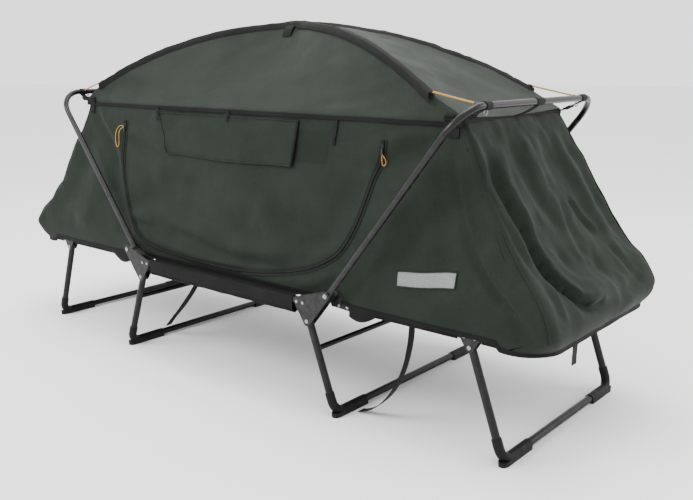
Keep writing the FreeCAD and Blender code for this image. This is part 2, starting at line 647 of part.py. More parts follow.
# flat webbing straps under the bed, as runs joined by tangent arcs
def strap(name, route, width, thick):
    """A flat strap that follows route in a plane of constant y; rounded corners, closed solid."""
    edges, prev = [], V(*route[0])
    for i in range(1, len(route) - 1):
        p, q, r = V(*route[i - 1]), V(*route[i]), V(*route[i + 1])
        u, w = (p - q), (r - q)
        lu, lw = u.Length, w.Length
        u.normalize(); w.normalize()
        turn = math.pi - u.getAngle(w)
        cutl = 0.45 * min(lu, lw)
        a, b = q + u * cutl, q + w * cutl
        rad = cutl / math.tan(turn / 2)
        bis = (u + w)
        bis.normalize()
        mid = q + bis * (rad / math.cos(turn / 2) - rad)
        edges += [Part.LineSegment(prev, a).toShape(), Part.Arc(a, mid, b).toShape()]
        prev = b
        print(name, "radius", round(rad, 1))
    edges.append(Part.LineSegment(prev, V(*route[-1])).toShape())
    path = Part.Wire(edges)
    d = V(*route[1]) - V(*route[0])
    d.normalize()
    n = d.cross(V(0, 1, 0))
    c = V(*route[0])
    h, t = V(0, width / 2, 0), n * (thick / 2)
    prof = Part.makePolygon([c - h - t, c + h - t, c + h + t, c - h + t, c - h - t])
    o = doc.addObject("Part::Feature", name + "_web")
    o.Shape = path.makePipeShell([prof], True, True)
    print(name, "volume", round(o.Shape.Volume), "section x length", round(width * thick * path.Length), "length", round(path.Length, 1))
    keep(name, o)


STRAP_A = [(-238, -215, 330), (-256, -215, 285), (-292, -215, 226), (-338, -215, 170), (-388, -215, 116), (-436, -215, 70), (-466, -215, 38)]
STRAP_B = [(690, -292, 331), (690, -292, 288), (684, -292, 238), (672, -292, 184), (652, -292, 132), (624, -292, 84), (588, -292, 44), (548, -292, 14), (512, -292, 2.2)]
strap("left_leg_strap", STRAP_A, 25.0, 1.6)
strap("right_leg_strap", STRAP_B, 25.0, 1.6)
keep("end_hem_tab", box(1.6, 26.0, 62.0, (1091.0, -166.0, 244.0)))

# ---------------------------------------------------------------- checks and files
doc.recompute()
bad = [o.Name + ":" + o.Label for o in doc.Objects if "Invalid" in o.State or "Error" in o.State]
for name, o in kept.items():
    if o.Shape.isNull() or not o.Shape.isValid() or not o.Shape.Solids:
        bad.append(name)
if bad:
    raise SystemExit("failed: " + ", ".join(bad))
os.makedirs("parts", exist_ok=True)
for old in os.listdir("parts"):
    if old.endswith(".step") and old[:-5] not in kept:
        os.remove(os.path.join("parts", old))
for name, o in kept.items():
    o.Shape.exportStep(os.path.join("parts", name + ".step"))
    bb = o.Shape.BoundBox
    print("%-28s solids %2d  vol %9.0f  x %7.1f %7.1f  y %7.1f %7.1f  z %7.1f %7.1f" % (
        name, len(o.Shape.Solids), o.Shape.Volume, bb.XMin, bb.XMax, bb.YMin, bb.YMax, bb.ZMin, bb.ZMax))
print(len(kept), "nodes")
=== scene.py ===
import bpy, json, math
import numpy as np
from mathutils import Vector, Matrix, noise
from mathutils.bvhtree import BVHTree
from mathutils.kdtree import KDTree
from mathutils.geometry import delaunay_2d_cdt


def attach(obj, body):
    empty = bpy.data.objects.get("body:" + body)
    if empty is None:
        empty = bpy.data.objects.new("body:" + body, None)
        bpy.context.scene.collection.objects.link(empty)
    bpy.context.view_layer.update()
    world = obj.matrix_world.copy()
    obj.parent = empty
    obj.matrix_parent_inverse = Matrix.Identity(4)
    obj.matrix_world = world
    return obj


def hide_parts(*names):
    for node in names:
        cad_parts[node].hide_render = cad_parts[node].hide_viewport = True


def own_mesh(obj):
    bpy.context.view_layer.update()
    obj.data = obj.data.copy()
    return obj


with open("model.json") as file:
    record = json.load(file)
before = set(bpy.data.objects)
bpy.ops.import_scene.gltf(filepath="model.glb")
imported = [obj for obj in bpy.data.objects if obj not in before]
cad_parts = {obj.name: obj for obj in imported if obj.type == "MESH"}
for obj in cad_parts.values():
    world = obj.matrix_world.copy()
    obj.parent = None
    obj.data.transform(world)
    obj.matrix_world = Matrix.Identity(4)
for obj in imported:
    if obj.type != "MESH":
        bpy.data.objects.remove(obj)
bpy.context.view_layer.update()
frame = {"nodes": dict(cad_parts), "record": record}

nodes = frame["nodes"]
HX = 0.4567                      # where the bed and the tent divide for folding


# ================================================================ camera
cam = bpy.data.objects.new("camera", bpy.data.cameras.new("camera"))
bpy.context.scene.collection.objects.link(cam)
cam.data.sensor_width = 36.0
cam.data.lens = 825.58 / 693 * 36.0
fwd, right = Vector((-0.62589, 0.74673, -0.22507)), Vector((0.76639, 0.64237, 0.0))
up = right.cross(fwd)
cam.matrix_world = Matrix(((right.x, up.x, -fwd.x, 1.9150), (right.y, up.y, -fwd.y, -2.0290), (right.z, up.z, -fwd.z, 0.9968), (0, 0, 0, 1)))
cam.data.clip_end = 100
bpy.context.scene.camera = cam


# ================================================================ materials
def new_mat(name, color=(0.5, 0.5, 0.5), rough=0.5, metal=0.0, sheen=0.0, spec=0.5):
    m = bpy.data.materials.new(name)
    m.use_nodes = True
    t = m.node_tree
    t.nodes.clear()
    out, b = t.nodes.new("ShaderNodeOutputMaterial"), t.nodes.new("ShaderNodeBsdfPrincipled")
    t.links.new(b.outputs[0], out.inputs[0])
    b.inputs["Base Color"].default_value = (*color, 1)
    b.inputs["Roughness"].default_value = rough
    b.inputs["Metallic"].default_value = metal
    b.inputs["Specular IOR Level"].default_value = spec
    b.inputs["Sheen Weight"].default_value = sheen
    b.inputs["Sheen Roughness"].default_value = 0.4
    return m, t, b


def N(t, kind, **props):
    n = t.nodes.new("ShaderNode" + kind)
    for k, v in props.items():
        if k in n.inputs:
            n.inputs[k].default_value = v
        else:
            setattr(n, k, v)
    return n


def coords(t, uv=False, scale=None):
    c = t.nodes.new("ShaderNodeTexCoord")
    s = c.outputs["UV" if uv else "Object"]
    if scale:
        mp = t.nodes.new("ShaderNodeMapping")
        mp.inputs["Scale"].default_value = scale
        t.links.new(s, mp.inputs[0])
        s = mp.outputs[0]
    return s


def noise_tex(t, vec, scale, detail=3.0, rough=0.55, dist=0.0):
    n = N(t, "TexNoise")
    n.inputs["Scale"].default_value = scale
    n.inputs["Detail"].default_value = detail
    n.inputs["Roughness"].default_value = rough
    n.inputs["Distortion"].default_value = dist
    t.links.new(vec, n.inputs["Vector"])
    return n.outputs["Fac"]


def ramp(t, fac, stops):
    r = t.nodes.new("ShaderNodeValToRGB")
    t.links.new(fac, r.inputs[0])
    e = r.color_ramp.elements
    while len(e) < len(stops):
        e.new(0.5)
    for x, (p, c) in zip(e, stops):
        x.position = p
        x.color = (*c, 1) if len(c) == 3 else c
    return r.outputs[0]


def mix(t, fac, a, b, kind="MIX"):
    m = t.nodes.new("ShaderNodeMix")
    m.data_type, m.blend_type = "RGBA", kind
    for i, v in ((0, fac), (6, a), (7, b)):
        if hasattr(v, "is_linked"):
            t.links.new(v, m.inputs[i])
        elif i == 0:
            m.inputs[i].default_value = v
        else:
            m.inputs[i].default_value = (*v[:3], 1)
    return m.outputs[2]


def math_node(t, op, a, b=None):
    m = N(t, "Math", operation=op)
    for i, v in enumerate((a, b)):
        if v is None:
            continue
        if isinstance(v, (int, float)):
            m.inputs[i].default_value = v
        else:
            t.links.new(v, m.inputs[i])
    return m.outputs[0]


def map_range(t, v, a, b, c, d):
    m = t.nodes.new("ShaderNodeMapRange")
    t.links.new(v, m.inputs[0])
    for i, x in zip((1, 2, 3, 4), (a, b, c, d)):
        m.inputs[i].default_value = x
    return m.outputs[0]


def bump(t, b, height, strength, distance, after=None):
    n = t.nodes.new("ShaderNodeBump")
    n.inputs["Strength"].default_value = strength
    n.inputs["Distance"].default_value = distance
    t.links.new(height, n.inputs["Height"])
    if after is not None:
        t.links.new(after, n.inputs["Normal"])
    t.links.new(n.outputs[0], b.inputs["Normal"])
    return n.outputs[0]


def weave(t, vec, period):
    """Plain weave height: over and under threads on both axes of vec."""
    out = []
    sep = t.nodes.new("ShaderNodeSeparateXYZ")
    t.links.new(vec, sep.inputs[0])
    k = 2 * math.pi / period
    sx = math_node(t, "SINE", math_node(t, "MULTIPLY", sep.outputs[0], k))
    sy = math_node(t, "SINE", math_node(t, "MULTIPLY", sep.outputs[1], k))
    over = math_node(t, "MULTIPLY", sx, sy)
    threads = math_node(t, "ADD", math_node(t, "ABSOLUTE", sx), math_node(t, "ABSOLUTE", sy))
    return math_node(t, "ADD", math_node(t, "MULTIPLY", over, 0.5), math_node(t, "MULTIPLY", threads, 0.5))


def fabric(name, dark, light, period=0.0018, rough=(0.62, 0.8), sheen=0.02, strength=0.35, mottle=3.5, spec=0.14):
    m, t, b = new_mat(name, light, 0.65, 0, sheen, spec)
    ob = coords(t)
    uv = coords(t, uv=True)
    big = noise_tex(t, ob, mottle, 4, 0.5, 0.4)
    fine = noise_tex(t, ob, 140, 2)
    col = ramp(t, big, [(0.3, dark), (0.72, light)])
    w = weave(t, uv, period)
    col = mix(t, 0.16, col, ramp(t, fine, [(0.35, tuple(c * 0.5 for c in dark)), (0.7, tuple(min(1, c * 1.5) for c in light))]), "MIX")
    # slubs: single threads a little lighter or darker along each direction
    slub_u = noise_tex(t, coords(t, uv=True, scale=(18, 620, 1)), 1.0, 2)
    slub_v = noise_tex(t, coords(t, uv=True, scale=(620, 18, 1)), 1.0, 2)
    slub = math_node(t, "ADD", slub_u, slub_v)
    col = mix(t, map_range(t, slub, 0.75, 1.25, 0.0, 0.28), col, tuple(min(1, c * 1.55) for c in light), "MIX")
    # painted shade: the low places of the weave, between and under the threads, are darkened
    col = mix(t, map_range(t, w, 0.1, 1.3, 0.30, 0.0), col, tuple(c * 0.35 for c in dark), "MIX")
    t.links.new(col, b.inputs["Base Color"])
    t.links.new(map_range(t, noise_tex(t, ob, 9, 4), 0.3, 0.7, *rough), b.inputs["Roughness"])
    crumple = noise_tex(t, ob, 26, 5, 0.6, 0.3)
    first = bump(t, b, crumple, 0.30, 0.004)
    second = t.nodes.new("ShaderNodeBump")
    second.inputs["Strength"].default_value = strength
    second.inputs["Distance"].default_value = 0.0004
    t.links.new(math_node(t, "ADD", w, math_node(t, "MULTIPLY", slub, 0.6)), second.inputs["Height"])
    t.links.new(first, second.inputs["Normal"])
    t.links.new(second.outputs[0], b.inputs["Normal"])
    return m


def webbing(name, dark, light, period=0.0032, rough=0.7):
    m, t, b = new_mat(name, light, rough, 0, 0.02, 0.15)
    uv = coords(t, uv=True)
    sep = t.nodes.new("ShaderNodeSeparateXYZ")
    t.links.new(uv, sep.inputs[0])
    # herringbone ribs: a sawtooth across the width shifts the ribs along the length
    zig = math_node(t, "PINGPONG", sep.outputs[1], 0.004)
    run = math_node(t, "ADD", sep.outputs[0], zig)
    rib = math_node(t, "ABSOLUTE", math_node(t, "SINE", math_node(t, "MULTIPLY", run, math.pi / period)))
    col = mix(t, rib, dark, light)
    col = mix(t, map_range(t, noise_tex(t, coords(t), 45, 3), 0.35, 0.75, 0, 0.35), col, tuple(min(1, c * 1.7) for c in light))
    t.links.new(col, b.inputs["Base Color"])
    bump(t, b, rib, 0.5, 0.0006)
    return m


def painted(name, base, edge, rough=(0.32, 0.5), scuff=0.12, spec=0.5):
    m, t, b = new_mat(name, base, 0.4, 0, 0, spec)
    ob = coords(t)
    mott = noise_tex(t, ob, 14, 4)
    col = ramp(t, mott, [(0.3, tuple(c * 0.8 for c in base)), (0.75, tuple(c * 1.25 for c in base))])
    scratch = noise_tex(t, coords(t, scale=(40, 260, 60)), 1.0, 5, 0.7)
    mask = map_range(t, scratch, 0.66, 0.78, 0.0, scuff)
    col = mix(t, mask, col, edge)
    g = t.nodes.new("ShaderNodeNewGeometry")
    wear = map_range(t, g.outputs["Pointiness"], 0.53, 0.62, 0.0, 0.45)
    wear = math_node(t, "MULTIPLY", wear, map_range(t, noise_tex(t, ob, 60, 3), 0.4, 0.7, 0.2, 1.0))
    col = mix(t, wear, col, edge)
    t.links.new(col, b.inputs["Base Color"])
    t.links.new(map_range(t, noise_tex(t, ob, 30, 3), 0.3, 0.7, *rough), b.inputs["Roughness"])
    peel = noise_tex(t, ob, 420, 2)
    bump(t, b, peel, 0.12, 0.0006)
    return m


def plain_metal(name, base, rough=(0.25, 0.42), metal=0.9):
    m, t, b = new_mat(name, base, 0.3, metal)
    ob = coords(t)
    col = ramp(t, noise_tex(t, ob, 90, 4), [(0.3, tuple(c * 0.6 for c in base)), (0.7, tuple(min(1, c * 1.15) for c in base))])
    t.links.new(col, b.inputs["Base Color"])
    t.links.new(map_range(t, noise_tex(t, ob, 160, 3), 0.3, 0.7, *rough), b.inputs["Roughness"])
    bump(t, b, noise_tex(t, ob, 500, 2), 0.15, 0.0003)
    return m


def moulded(name, base, rough=(0.5, 0.68)):
    m, t, b = new_mat(name, base, 0.6, 0, 0, 0.18)
    ob = coords(t)
    col = ramp(t, noise_tex(t, ob, 22, 4), [(0.3, tuple(c * 0.75 for c in base)), (0.75, tuple(c * 1.5 for c in base))])
    sep = t.nodes.new("ShaderNodeSeparateXYZ")
    t.links.new(ob, sep.inputs[0])
    dust = math_node(t, "MULTIPLY", map_range(t, sep.outputs[2], 0.0, 0.022, 0.35, 0.0), map_range(t, noise_tex(t, ob, 80, 4), 0.35, 0.7, 0.2, 1.0))
    col = mix(t, dust, col, (0.03, 0.028, 0.024))
    t.links.new(col, b.inputs["Base Color"])
    t.links.new(map_range(t, noise_tex(t, ob, 50, 3), 0.3, 0.7, *rough), b.inputs["Roughness"])
    cells = N(t, "TexVoronoi")
    cells.inputs["Scale"].default_value = 900
    t.links.new(ob, cells.inputs["Vector"])
    bump(t, b, cells.outputs["Distance"], 0.2, 0.0004)
    return m


def braid(name, a, c):
    m, t, b = new_mat(name, a, 0.6, 0, 0.15)
    ob = coords(t)
    sep = t.nodes.new("ShaderNodeSeparateXYZ")
    t.links.new(coords(t, uv=True), sep.inputs[0])
    k1 = math_node(t, "ADD", math_node(t, "MULTIPLY", sep.outputs[0], 900.0), math_node(t, "MULTIPLY", sep.outputs[1], 6.2832))
    k2 = math_node(t, "SUBTRACT", math_node(t, "MULTIPLY", sep.outputs[0], 900.0), math_node(t, "MULTIPLY", sep.outputs[1], 6.2832))
    h = math_node(t, "MAXIMUM", math_node(t, "SINE", k1), math_node(t, "SINE", k2))
    col = mix(t, map_range(t, h, -0.2, 0.9, 0.0, 1.0), c, a)
    col = mix(t, map_range(t, noise_tex(t, ob, 60, 3), 0.4, 0.7, 0, 0.3), col, tuple(min(1, x * 1.3) for x in a))
    t.links.new(col, b.inputs["Base Color"])
    bump(t, b, h, 0.5, 0.0006)
    return m


def mesh_cloth(name):
    m, t, b = new_mat(name, (0.008, 0.011, 0.008), 0.75, 0, 0.0, 0.12)
    uv = coords(t, uv=True)
    sep = t.nodes.new("ShaderNodeSeparateXYZ")
    t.links.new(uv, sep.inputs[0])
    k = 2 * math.pi / 0.0016
    gx = math_node(t, "ABSOLUTE", math_node(t, "SINE", math_node(t, "MULTIPLY", sep.outputs[0], k / 2)))
    gy = math_node(t, "ABSOLUTE", math_node(t, "SINE", math_node(t, "MULTIPLY", sep.outputs[1], k / 2)))
    thread = math_node(t, "MINIMUM", gx, gy)
    # painted shade: the cells between the threads are darker, standing for the shaded inside seen through the net,
    # which is drawn opaque
    col = ramp(t, thread, [(0.12, (0.013, 0.018, 0.013)), (0.4, (0.0055, 0.0080, 0.0056))])
    col = mix(t, map_range(t, noise_tex(t, coords(t), 12, 3), 0.4, 0.7, 0, 0.25), col, (0.012, 0.0165, 0.012))
    t.links.new(col, b.inputs["Base Color"])
    bump(t, b, thread, 0.4, 0.0004)
    return m


def zip_mat(name):
    m, t, b = new_mat(name, (0.004, 0.005, 0.004), 0.55, 0, 0, 0.15)
    sep = t.nodes.new("ShaderNodeSeparateXYZ")
    t.links.new(coords(t, uv=True), sep.inputs[0])
    teeth = math_node(t, "ABSOLUTE", math_node(t, "SINE", math_node(t, "MULTIPLY", sep.outputs[0], math.pi / 0.0022)))
    col = mix(t, teeth, (0.002, 0.002, 0.002), (0.008, 0.010, 0.008))
    col = mix(t, map_range(t, noise_tex(t, coords(t), 30, 3), 0.4, 0.7, 0, 0.3), col, (0.006, 0.008, 0.006))
    t.links.new(col, b.inputs["Base Color"])
    bump(t, b, teeth, 0.6, 0.0008)
    return m


GREEN_D, GREEN_L = (0.0062, 0.0098, 0.0064), (0.0118, 0.0172, 0.0118)
ROOF_D, ROOF_L = (0.0088, 0.0135, 0.0090), (0.0150, 0.0215, 0.0150)
M = {
    "tent_fabric": fabric("tent_oxford", GREEN_D, GREEN_L),
    "roof_fabric": fabric("roof_oxford", ROOF_D, ROOF_L, rough=(0.5, 0.66)),
    "sleeve_fabric": fabric("sleeve_cloth", (0.0030, 0.0038, 0.0030), (0.0055, 0.0066, 0.0052), rough=(0.6, 0.75)),
    "binding": fabric("binding_tape", (0.002, 0.002, 0.002), (0.004, 0.004, 0.004), period=0.0014, sheen=0.01),
    "bed_fabric": fabric("bed_cloth", (0.0018, 0.0018, 0.0019), (0.0038, 0.0038, 0.0040), period=0.0022, sheen=0.01),
    "window_mesh": mesh_cloth("window_net"),
    "black_webbing": webbing("webbing", (0.0015, 0.0015, 0.0015), (0.0045, 0.0045, 0.0045)),
    "black_tube": painted("tube_paint", (0.0022, 0.0022, 0.0026), (0.03, 0.03, 0.03), spec=0.22),
    "bow_tube": painted("bow_paint", (0.0025, 0.0025, 0.0028), (0.04, 0.04, 0.04), rough=(0.24, 0.36), spec=0.28),
    "pressed_plate": painted("plate_paint", (0.0025, 0.0025, 0.0028), (0.05, 0.05, 0.05), scuff=0.15, spec=0.22),
    "fastener_steel": plain_metal("zinc_steel", (0.30, 0.30, 0.29)),
    "foot_plastic": moulded("boot_plastic", (0.0022, 0.0022, 0.0024)),
    "slider_metal": plain_metal("slider_enamel", (0.03, 0.03, 0.03), (0.3, 0.45), 0.7),
    "yellow_elastic": braid("yellow_cord", (0.40, 0.215, 0.014), (0.20, 0.075, 0.005)),
    "pole_fibreglass": painted("pole_glassfibre", (0.004, 0.004, 0.0045), (0.04, 0.04, 0.04), rough=(0.25, 0.4), spec=0.2),
    "patch": fabric("patch_cloth", (0.15, 0.165, 0.155), (0.22, 0.235, 0.225), period=0.0012),
    "zip": zip_mat("zip_coil"),
}


# ================================================================ mesh helpers
def vertex_normals(P, F):
    P = np.asarray(P, float)
    n = np.zeros_like(P)
    for f in F:
        pass
    tri = []
    for f in F:
        for i in range(1, len(f) - 1):
            tri.append((f[0], f[i], f[i + 1]))
    tri = np.array(tri)
    c = np.cross(P[tri[:, 1]] - P[tri[:, 0]], P[tri[:, 2]] - P[tri[:, 0]])
    for k in range(3):
        np.add.at(n, tri[:, k], c)
    l = np.linalg.norm(n, axis=1)
    l[l < 1e-12] = 1
    return n / l[:, None]


def make(name, P, F, material, body, uv=None, loop_normals=None, smooth=True):
    me = bpy.data.meshes.new(name)
    me.from_pydata([tuple(p) for p in P], [], [tuple(int(i) for i in f) for f in F])
    me.update()
    if uv is not None:
        layer = me.uv_layers.new(name="cloth")
        idx = np.zeros(len(me.loops), int)
        me.loops.foreach_get("vertex_index", idx)
        layer.data.foreach_set("uv", np.asarray(uv, np.float32)[idx].ravel())
    me.polygons.foreach_set("use_smooth", [smooth] * len(me.polygons))
    if loop_normals is not None:
        me.normals_split_custom_set([tuple(x) for x in loop_normals])
    me.materials.append(material)
    o = bpy.data.objects.new(name, me)
    bpy.context.scene.collection.objects.link(o)
    if body:
        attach(o, body)
    return o


def shell(name, P, F, Nv, thick, material, body, uv):
    """A sheet of cloth with thickness: outer face P, inner face thick behind it, and rims. Nv are the shading normals."""
    P, Nv = np.asarray(P, float), np.asarray(Nv, float)
    used = sorted(set(i for f in F for i in f))
    remap = {v: i for i, v in enumerate(used)}
    F = [tuple(remap[i] for i in f) for f in F]
    P, Nv, uv = P[used], Nv[used], np.asarray(uv, float)[used]
    n = len(P)
    Q = P - Nv * thick
    count = {}
    for f in F:
        for i in range(len(f)):
            a, b = f[i], f[(i + 1) % len(f)]
            if (b, a) in count:
                count[(b, a)] += 1
            else:
                count[(a, b)] = count.get((a, b), 0) + 1
    rims = [(b, a, a + n, b + n) for (a, b), c in count.items() if c == 1]
    faces = list(F) + [tuple(i + n for i in reversed(f)) for f in F] + rims
    V = np.vstack([P, Q])
    ln = []
    for f in F:
        ln += [Nv[i] for i in f]
    for f in F:
        ln += [-Nv[i] for i in reversed(f)]
    for r in rims:
        c = np.cross(V[r[1]] - V[r[0]], V[r[3]] - V[r[0]])
        c = c / (np.linalg.norm(c) + 1e-12)
        ln += [c] * 4
    return make(name, V, faces, material, body, np.vstack([uv, uv]), ln)


def grid_faces(nu, nv, offset=0):
    """Faces of a grid whose vertex (i, j) is at i * nv + j."""
    return [(offset + i * nv + j, offset + (i + 1) * nv + j, offset + (i + 1) * nv + j + 1, offset + i * nv + j + 1)
            for i in range(nu - 1) for j in range(nv - 1)]


def resample(pts, step):
    pts = np.asarray(pts, float)
    d = np.r_[0, np.cumsum(np.linalg.norm(np.diff(pts, axis=0), axis=1))]
    n = max(2, int(round(d[-1] / step)) + 1)
    s = np.linspace(0, d[-1], n)
    return np.stack([np.interp(s, d, pts[:, k]) for k in range(pts.shape[1])], 1)


def soften(pts, rounds=2):
    """Cuts the corners of an open line, ends kept."""
    pts = np.asarray(pts, float)
    for _ in range(rounds):
        q = [pts[0]]
        for a, b in zip(pts[:-1], pts[1:]):
            q += [a * 0.75 + b * 0.25, a * 0.25 + b * 0.75]
        q.append(pts[-1])
        pts = np.array(q)
    return pts


def tube(path, radius, ring=10, caps=True, ref=(0, 0, 1)):
    """Verts, faces and uv of a round tube along path; radius is a number or one per point."""
    path = np.asarray(path, float)
    n = len(path)
    rad = np.full(n, radius) if np.isscalar(radius) else np.asarray(radius, float)
    tang = np.gradient(path, axis=0)
    tang /= np.linalg.norm(tang, axis=1)[:, None]
    v = np.array(ref, float)
    if abs(v @ tang[0]) > 0.9:
        v = np.array((1.0, 0, 0))
    P, uv = [], []
    s = np.r_[0, np.cumsum(np.linalg.norm(np.diff(path, axis=0), axis=1))]
    for i in range(n):
        v = v - (v @ tang[i]) * tang[i]
        v /= np.linalg.norm(v)
        w = np.cross(tang[i], v)
        for k in range(ring):
            a = 2 * math.pi * k / ring
            P.append(path[i] + rad[i] * (math.cos(a) * v + math.sin(a) * w))
            uv.append((s[i], k / ring))
    F = [(i * ring + k, i * ring + (k + 1) % ring, (i + 1) * ring + (k + 1) % ring, (i + 1) * ring + k) for i in range(n - 1) for k in range(ring)]
    if caps:
        F += [tuple(reversed(range(ring))), tuple(range((n - 1) * ring, n * ring))]
    return np.array(P), F, np.array(uv)


def ribbon(path, across, width, thick, crown=0.0, cols=5):
    """A closed flat strip along path; across gives the width direction at each point (or one for all)."""
    path = np.asarray(path, float)
    n = len(path)
    across = np.broadcast_to(np.asarray(across, float), (n, 3)).copy()
    tang = np.gradient(path, axis=0)
    tang /= np.linalg.norm(tang, axis=1)[:, None] + 1e-12
    across -= (across * tang).sum(1)[:, None] * tang
    across /= np.linalg.norm(across, axis=1)[:, None]
    nor = np.cross(tang, across)
    s = np.r_[0, np.cumsum(np.linalg.norm(np.diff(path, axis=0), axis=1))]
    P, uv = [], []
    us = np.linspace(-1, 1, cols)
    for i in range(n):
        for side in (1, -1):
            for u in (us if side > 0 else us[::-1]):
                P.append(path[i] + across[i] * u * width / 2 + nor[i] * (side * thick / 2 + crown * (1 - u * u)))
                uv.append((s[i], (u + 1) / 2 * width))
    m = 2 * cols
    F = [(i * m + k, i * m + (k + 1) % m, (i + 1) * m + (k + 1) % m, (i + 1) * m + k) for i in range(n - 1) for k in range(m)]
    F += [tuple(reversed(range(m))), tuple(range((n - 1) * m, n * m))]
    return np.array(P), F, np.array(uv)


def merged(parts):
    P, F, U, n = [], [], [], 0
    for p, f, u in parts:
        P.append(p); U.append(u)
        F += [tuple(i + n for i in x) for x in f]
        n += len(p)
    return np.vstack(P), F, np.vstack(U)


def spun(parts):
    """The same geometry turned half a turn about Z, for the far side."""
    p, f, u = parts
    return np.asarray(p, float) * np.array((-1, -1, 1.0)), f, u


def sm(x, a, b):
    t = np.clip((np.asarray(x, float) - a) / (b - a), 0, 1)
    return t * t * (3 - 2 * t)


def spline(points, r=None):
    """Points along the smooth NURBS line that has these control points."""
    cu = bpy.data.curves.new("route", "CURVE")
    cu.dimensions = "3D"
    sp = cu.splines.new("NURBS")
    sp.points.add(len(points) - 1)
    for q, p in zip(sp.points, points):
        q.co = (*p, 1)
    sp.order_u = 3
    sp.use_endpoint_u = True
    sp.resolution_u = 12
    cu.resolution_u = 12
    ob = bpy.data.objects.new("route", cu)
    bpy.context.scene.collection.objects.link(ob)
    bpy.context.view_layer.update()
    me = bpy.data.meshes.new_from_object(ob.evaluated_get(bpy.context.evaluated_depsgraph_get()))
    out = np.array([v.co for v in me.vertices], float)
    bpy.data.objects.remove(ob)
    bpy.data.curves.remove(cu)
    bpy.data.meshes.remove(me)
    return out


# ================================================================ tent body: one surface, divided into its pieces afterwards
Z0, Z1 = 0.337, 0.850
DOOR = [(-0.575, 0.798), (-0.578, 0.683), (-0.560, 0.580), (-0.522, 0.478), (-0.462, 0.402), (-0.394, 0.374), (-0.256, 0.359), (0.090, 0.352),
        (0.305, 0.390), (0.424, 0.440), (0.478, 0.490), (0.518, 0.581), (0.545, 0.678), (0.572, 0.761), (0.575, 0.798)]
WINDOW = [(-0.364, 0.798), (-0.318, 0.705), (0.372, 0.705), (0.379, 0.798)]
FLAP = [(-0.391, 0.822), (-0.334, 0.690), (0.240, 0.690), (0.254, 0.822)]

PZ = np.array([0.306, 0.322, 0.335, 0.355, 0.370, 0.390, 0.410, 0.430, 0.450, 0.470, 0.490, 0.550, 0.650, 0.750, 0.800, 0.850])
PX_RIGHT = np.array([1.092, 1.106, 1.116, 1.121, 1.119, 1.111, 1.100, 1.086, 1.068, 1.048, 1.033, 0.990, 0.930, 0.870, 0.841, 0.812])
PX_LEFT = np.array([1.094, 1.108, 1.119, 1.125, 1.125, 1.120, 1.104, 1.084, 1.060, 1.040, 1.022, 0.973, 0.910, 0.852, 0.828, 0.812])
PW = np.array([0.335, 0.339, 0.342, 0.344, 0.344, 0.342, 0.340, 0.336, 0.331, 0.325, 0.319, 0.3075, 0.2905, 0.2745, 0.2670, 0.260])
PR = np.array([0.100, 0.080, 0.064, 0.050, 0.047, 0.047, 0.048, 0.048, 0.046, 0.044, 0.042, 0.038, 0.030, 0.022, 0.018, 0.014])


def smooth_interp(z, xs, ys):
    """Interpolation with the corners of the table rounded off."""
    return sum(w * np.interp(np.asarray(z, float) + d, xs, ys) for d, w in ((-0.012, 0.2), (-0.005, 0.2), (0, 0.2), (0.005, 0.2), (0.012, 0.2)))


def profile(z, sx):
    X = np.where(sx > 0, smooth_interp(z, PZ, PX_RIGHT), smooth_interp(z, PZ, PX_LEFT))
    return X, smooth_interp(z, PZ, PW), smooth_interp(z, PZ, PR)


def cad_half(z):
    t = (np.asarray(z, float) - Z0) / (Z1 - Z0)
    return 0.995 + (0.798 - 0.995) * t, np.minimum(0.337, 0.337 + (0.260 - 0.337) * t)      # half straight length, half width


def front_point(x, z):
    x, z = np.asarray(x, float), np.asarray(z, float)
    L, Wc = cad_half(z)
    sx = np.where(x >= 0, 1.0, -1.0)
    X, W, r = profile(z, sx)
    k = sm(np.abs(x) / L, 0.62, 1.0)
    xx = x + sx * (X - r - L) * k
    y = -(Wc + (W - Wc) * sm(np.abs(x), 0.52, 0.70))
    return np.stack([xx, y, z], -1)


zs = np.linspace(Z0, Z1, 58)
step = 0.009


def hem_z(ax):
    return 0.3365 - 0.0085 * sm(ax, 0.478, 0.53) - 0.018 * sm(ax, 0.93, 0.99)


door_line = resample(soften(DOOR, 2), step)
bottom_x = np.unique(np.round(np.r_[np.linspace(-0.995, -HX - 0.02, 58), -HX - 0.02, np.linspace(-HX, HX, 101), HX + 0.02, np.linspace(HX + 0.02, 0.995, 58)], 6))
top_x = np.unique(np.round(np.r_[np.linspace(-0.798, -HX, 38), np.linspace(-HX, HX, 101), np.linspace(HX, 0.798, 38)], 6))


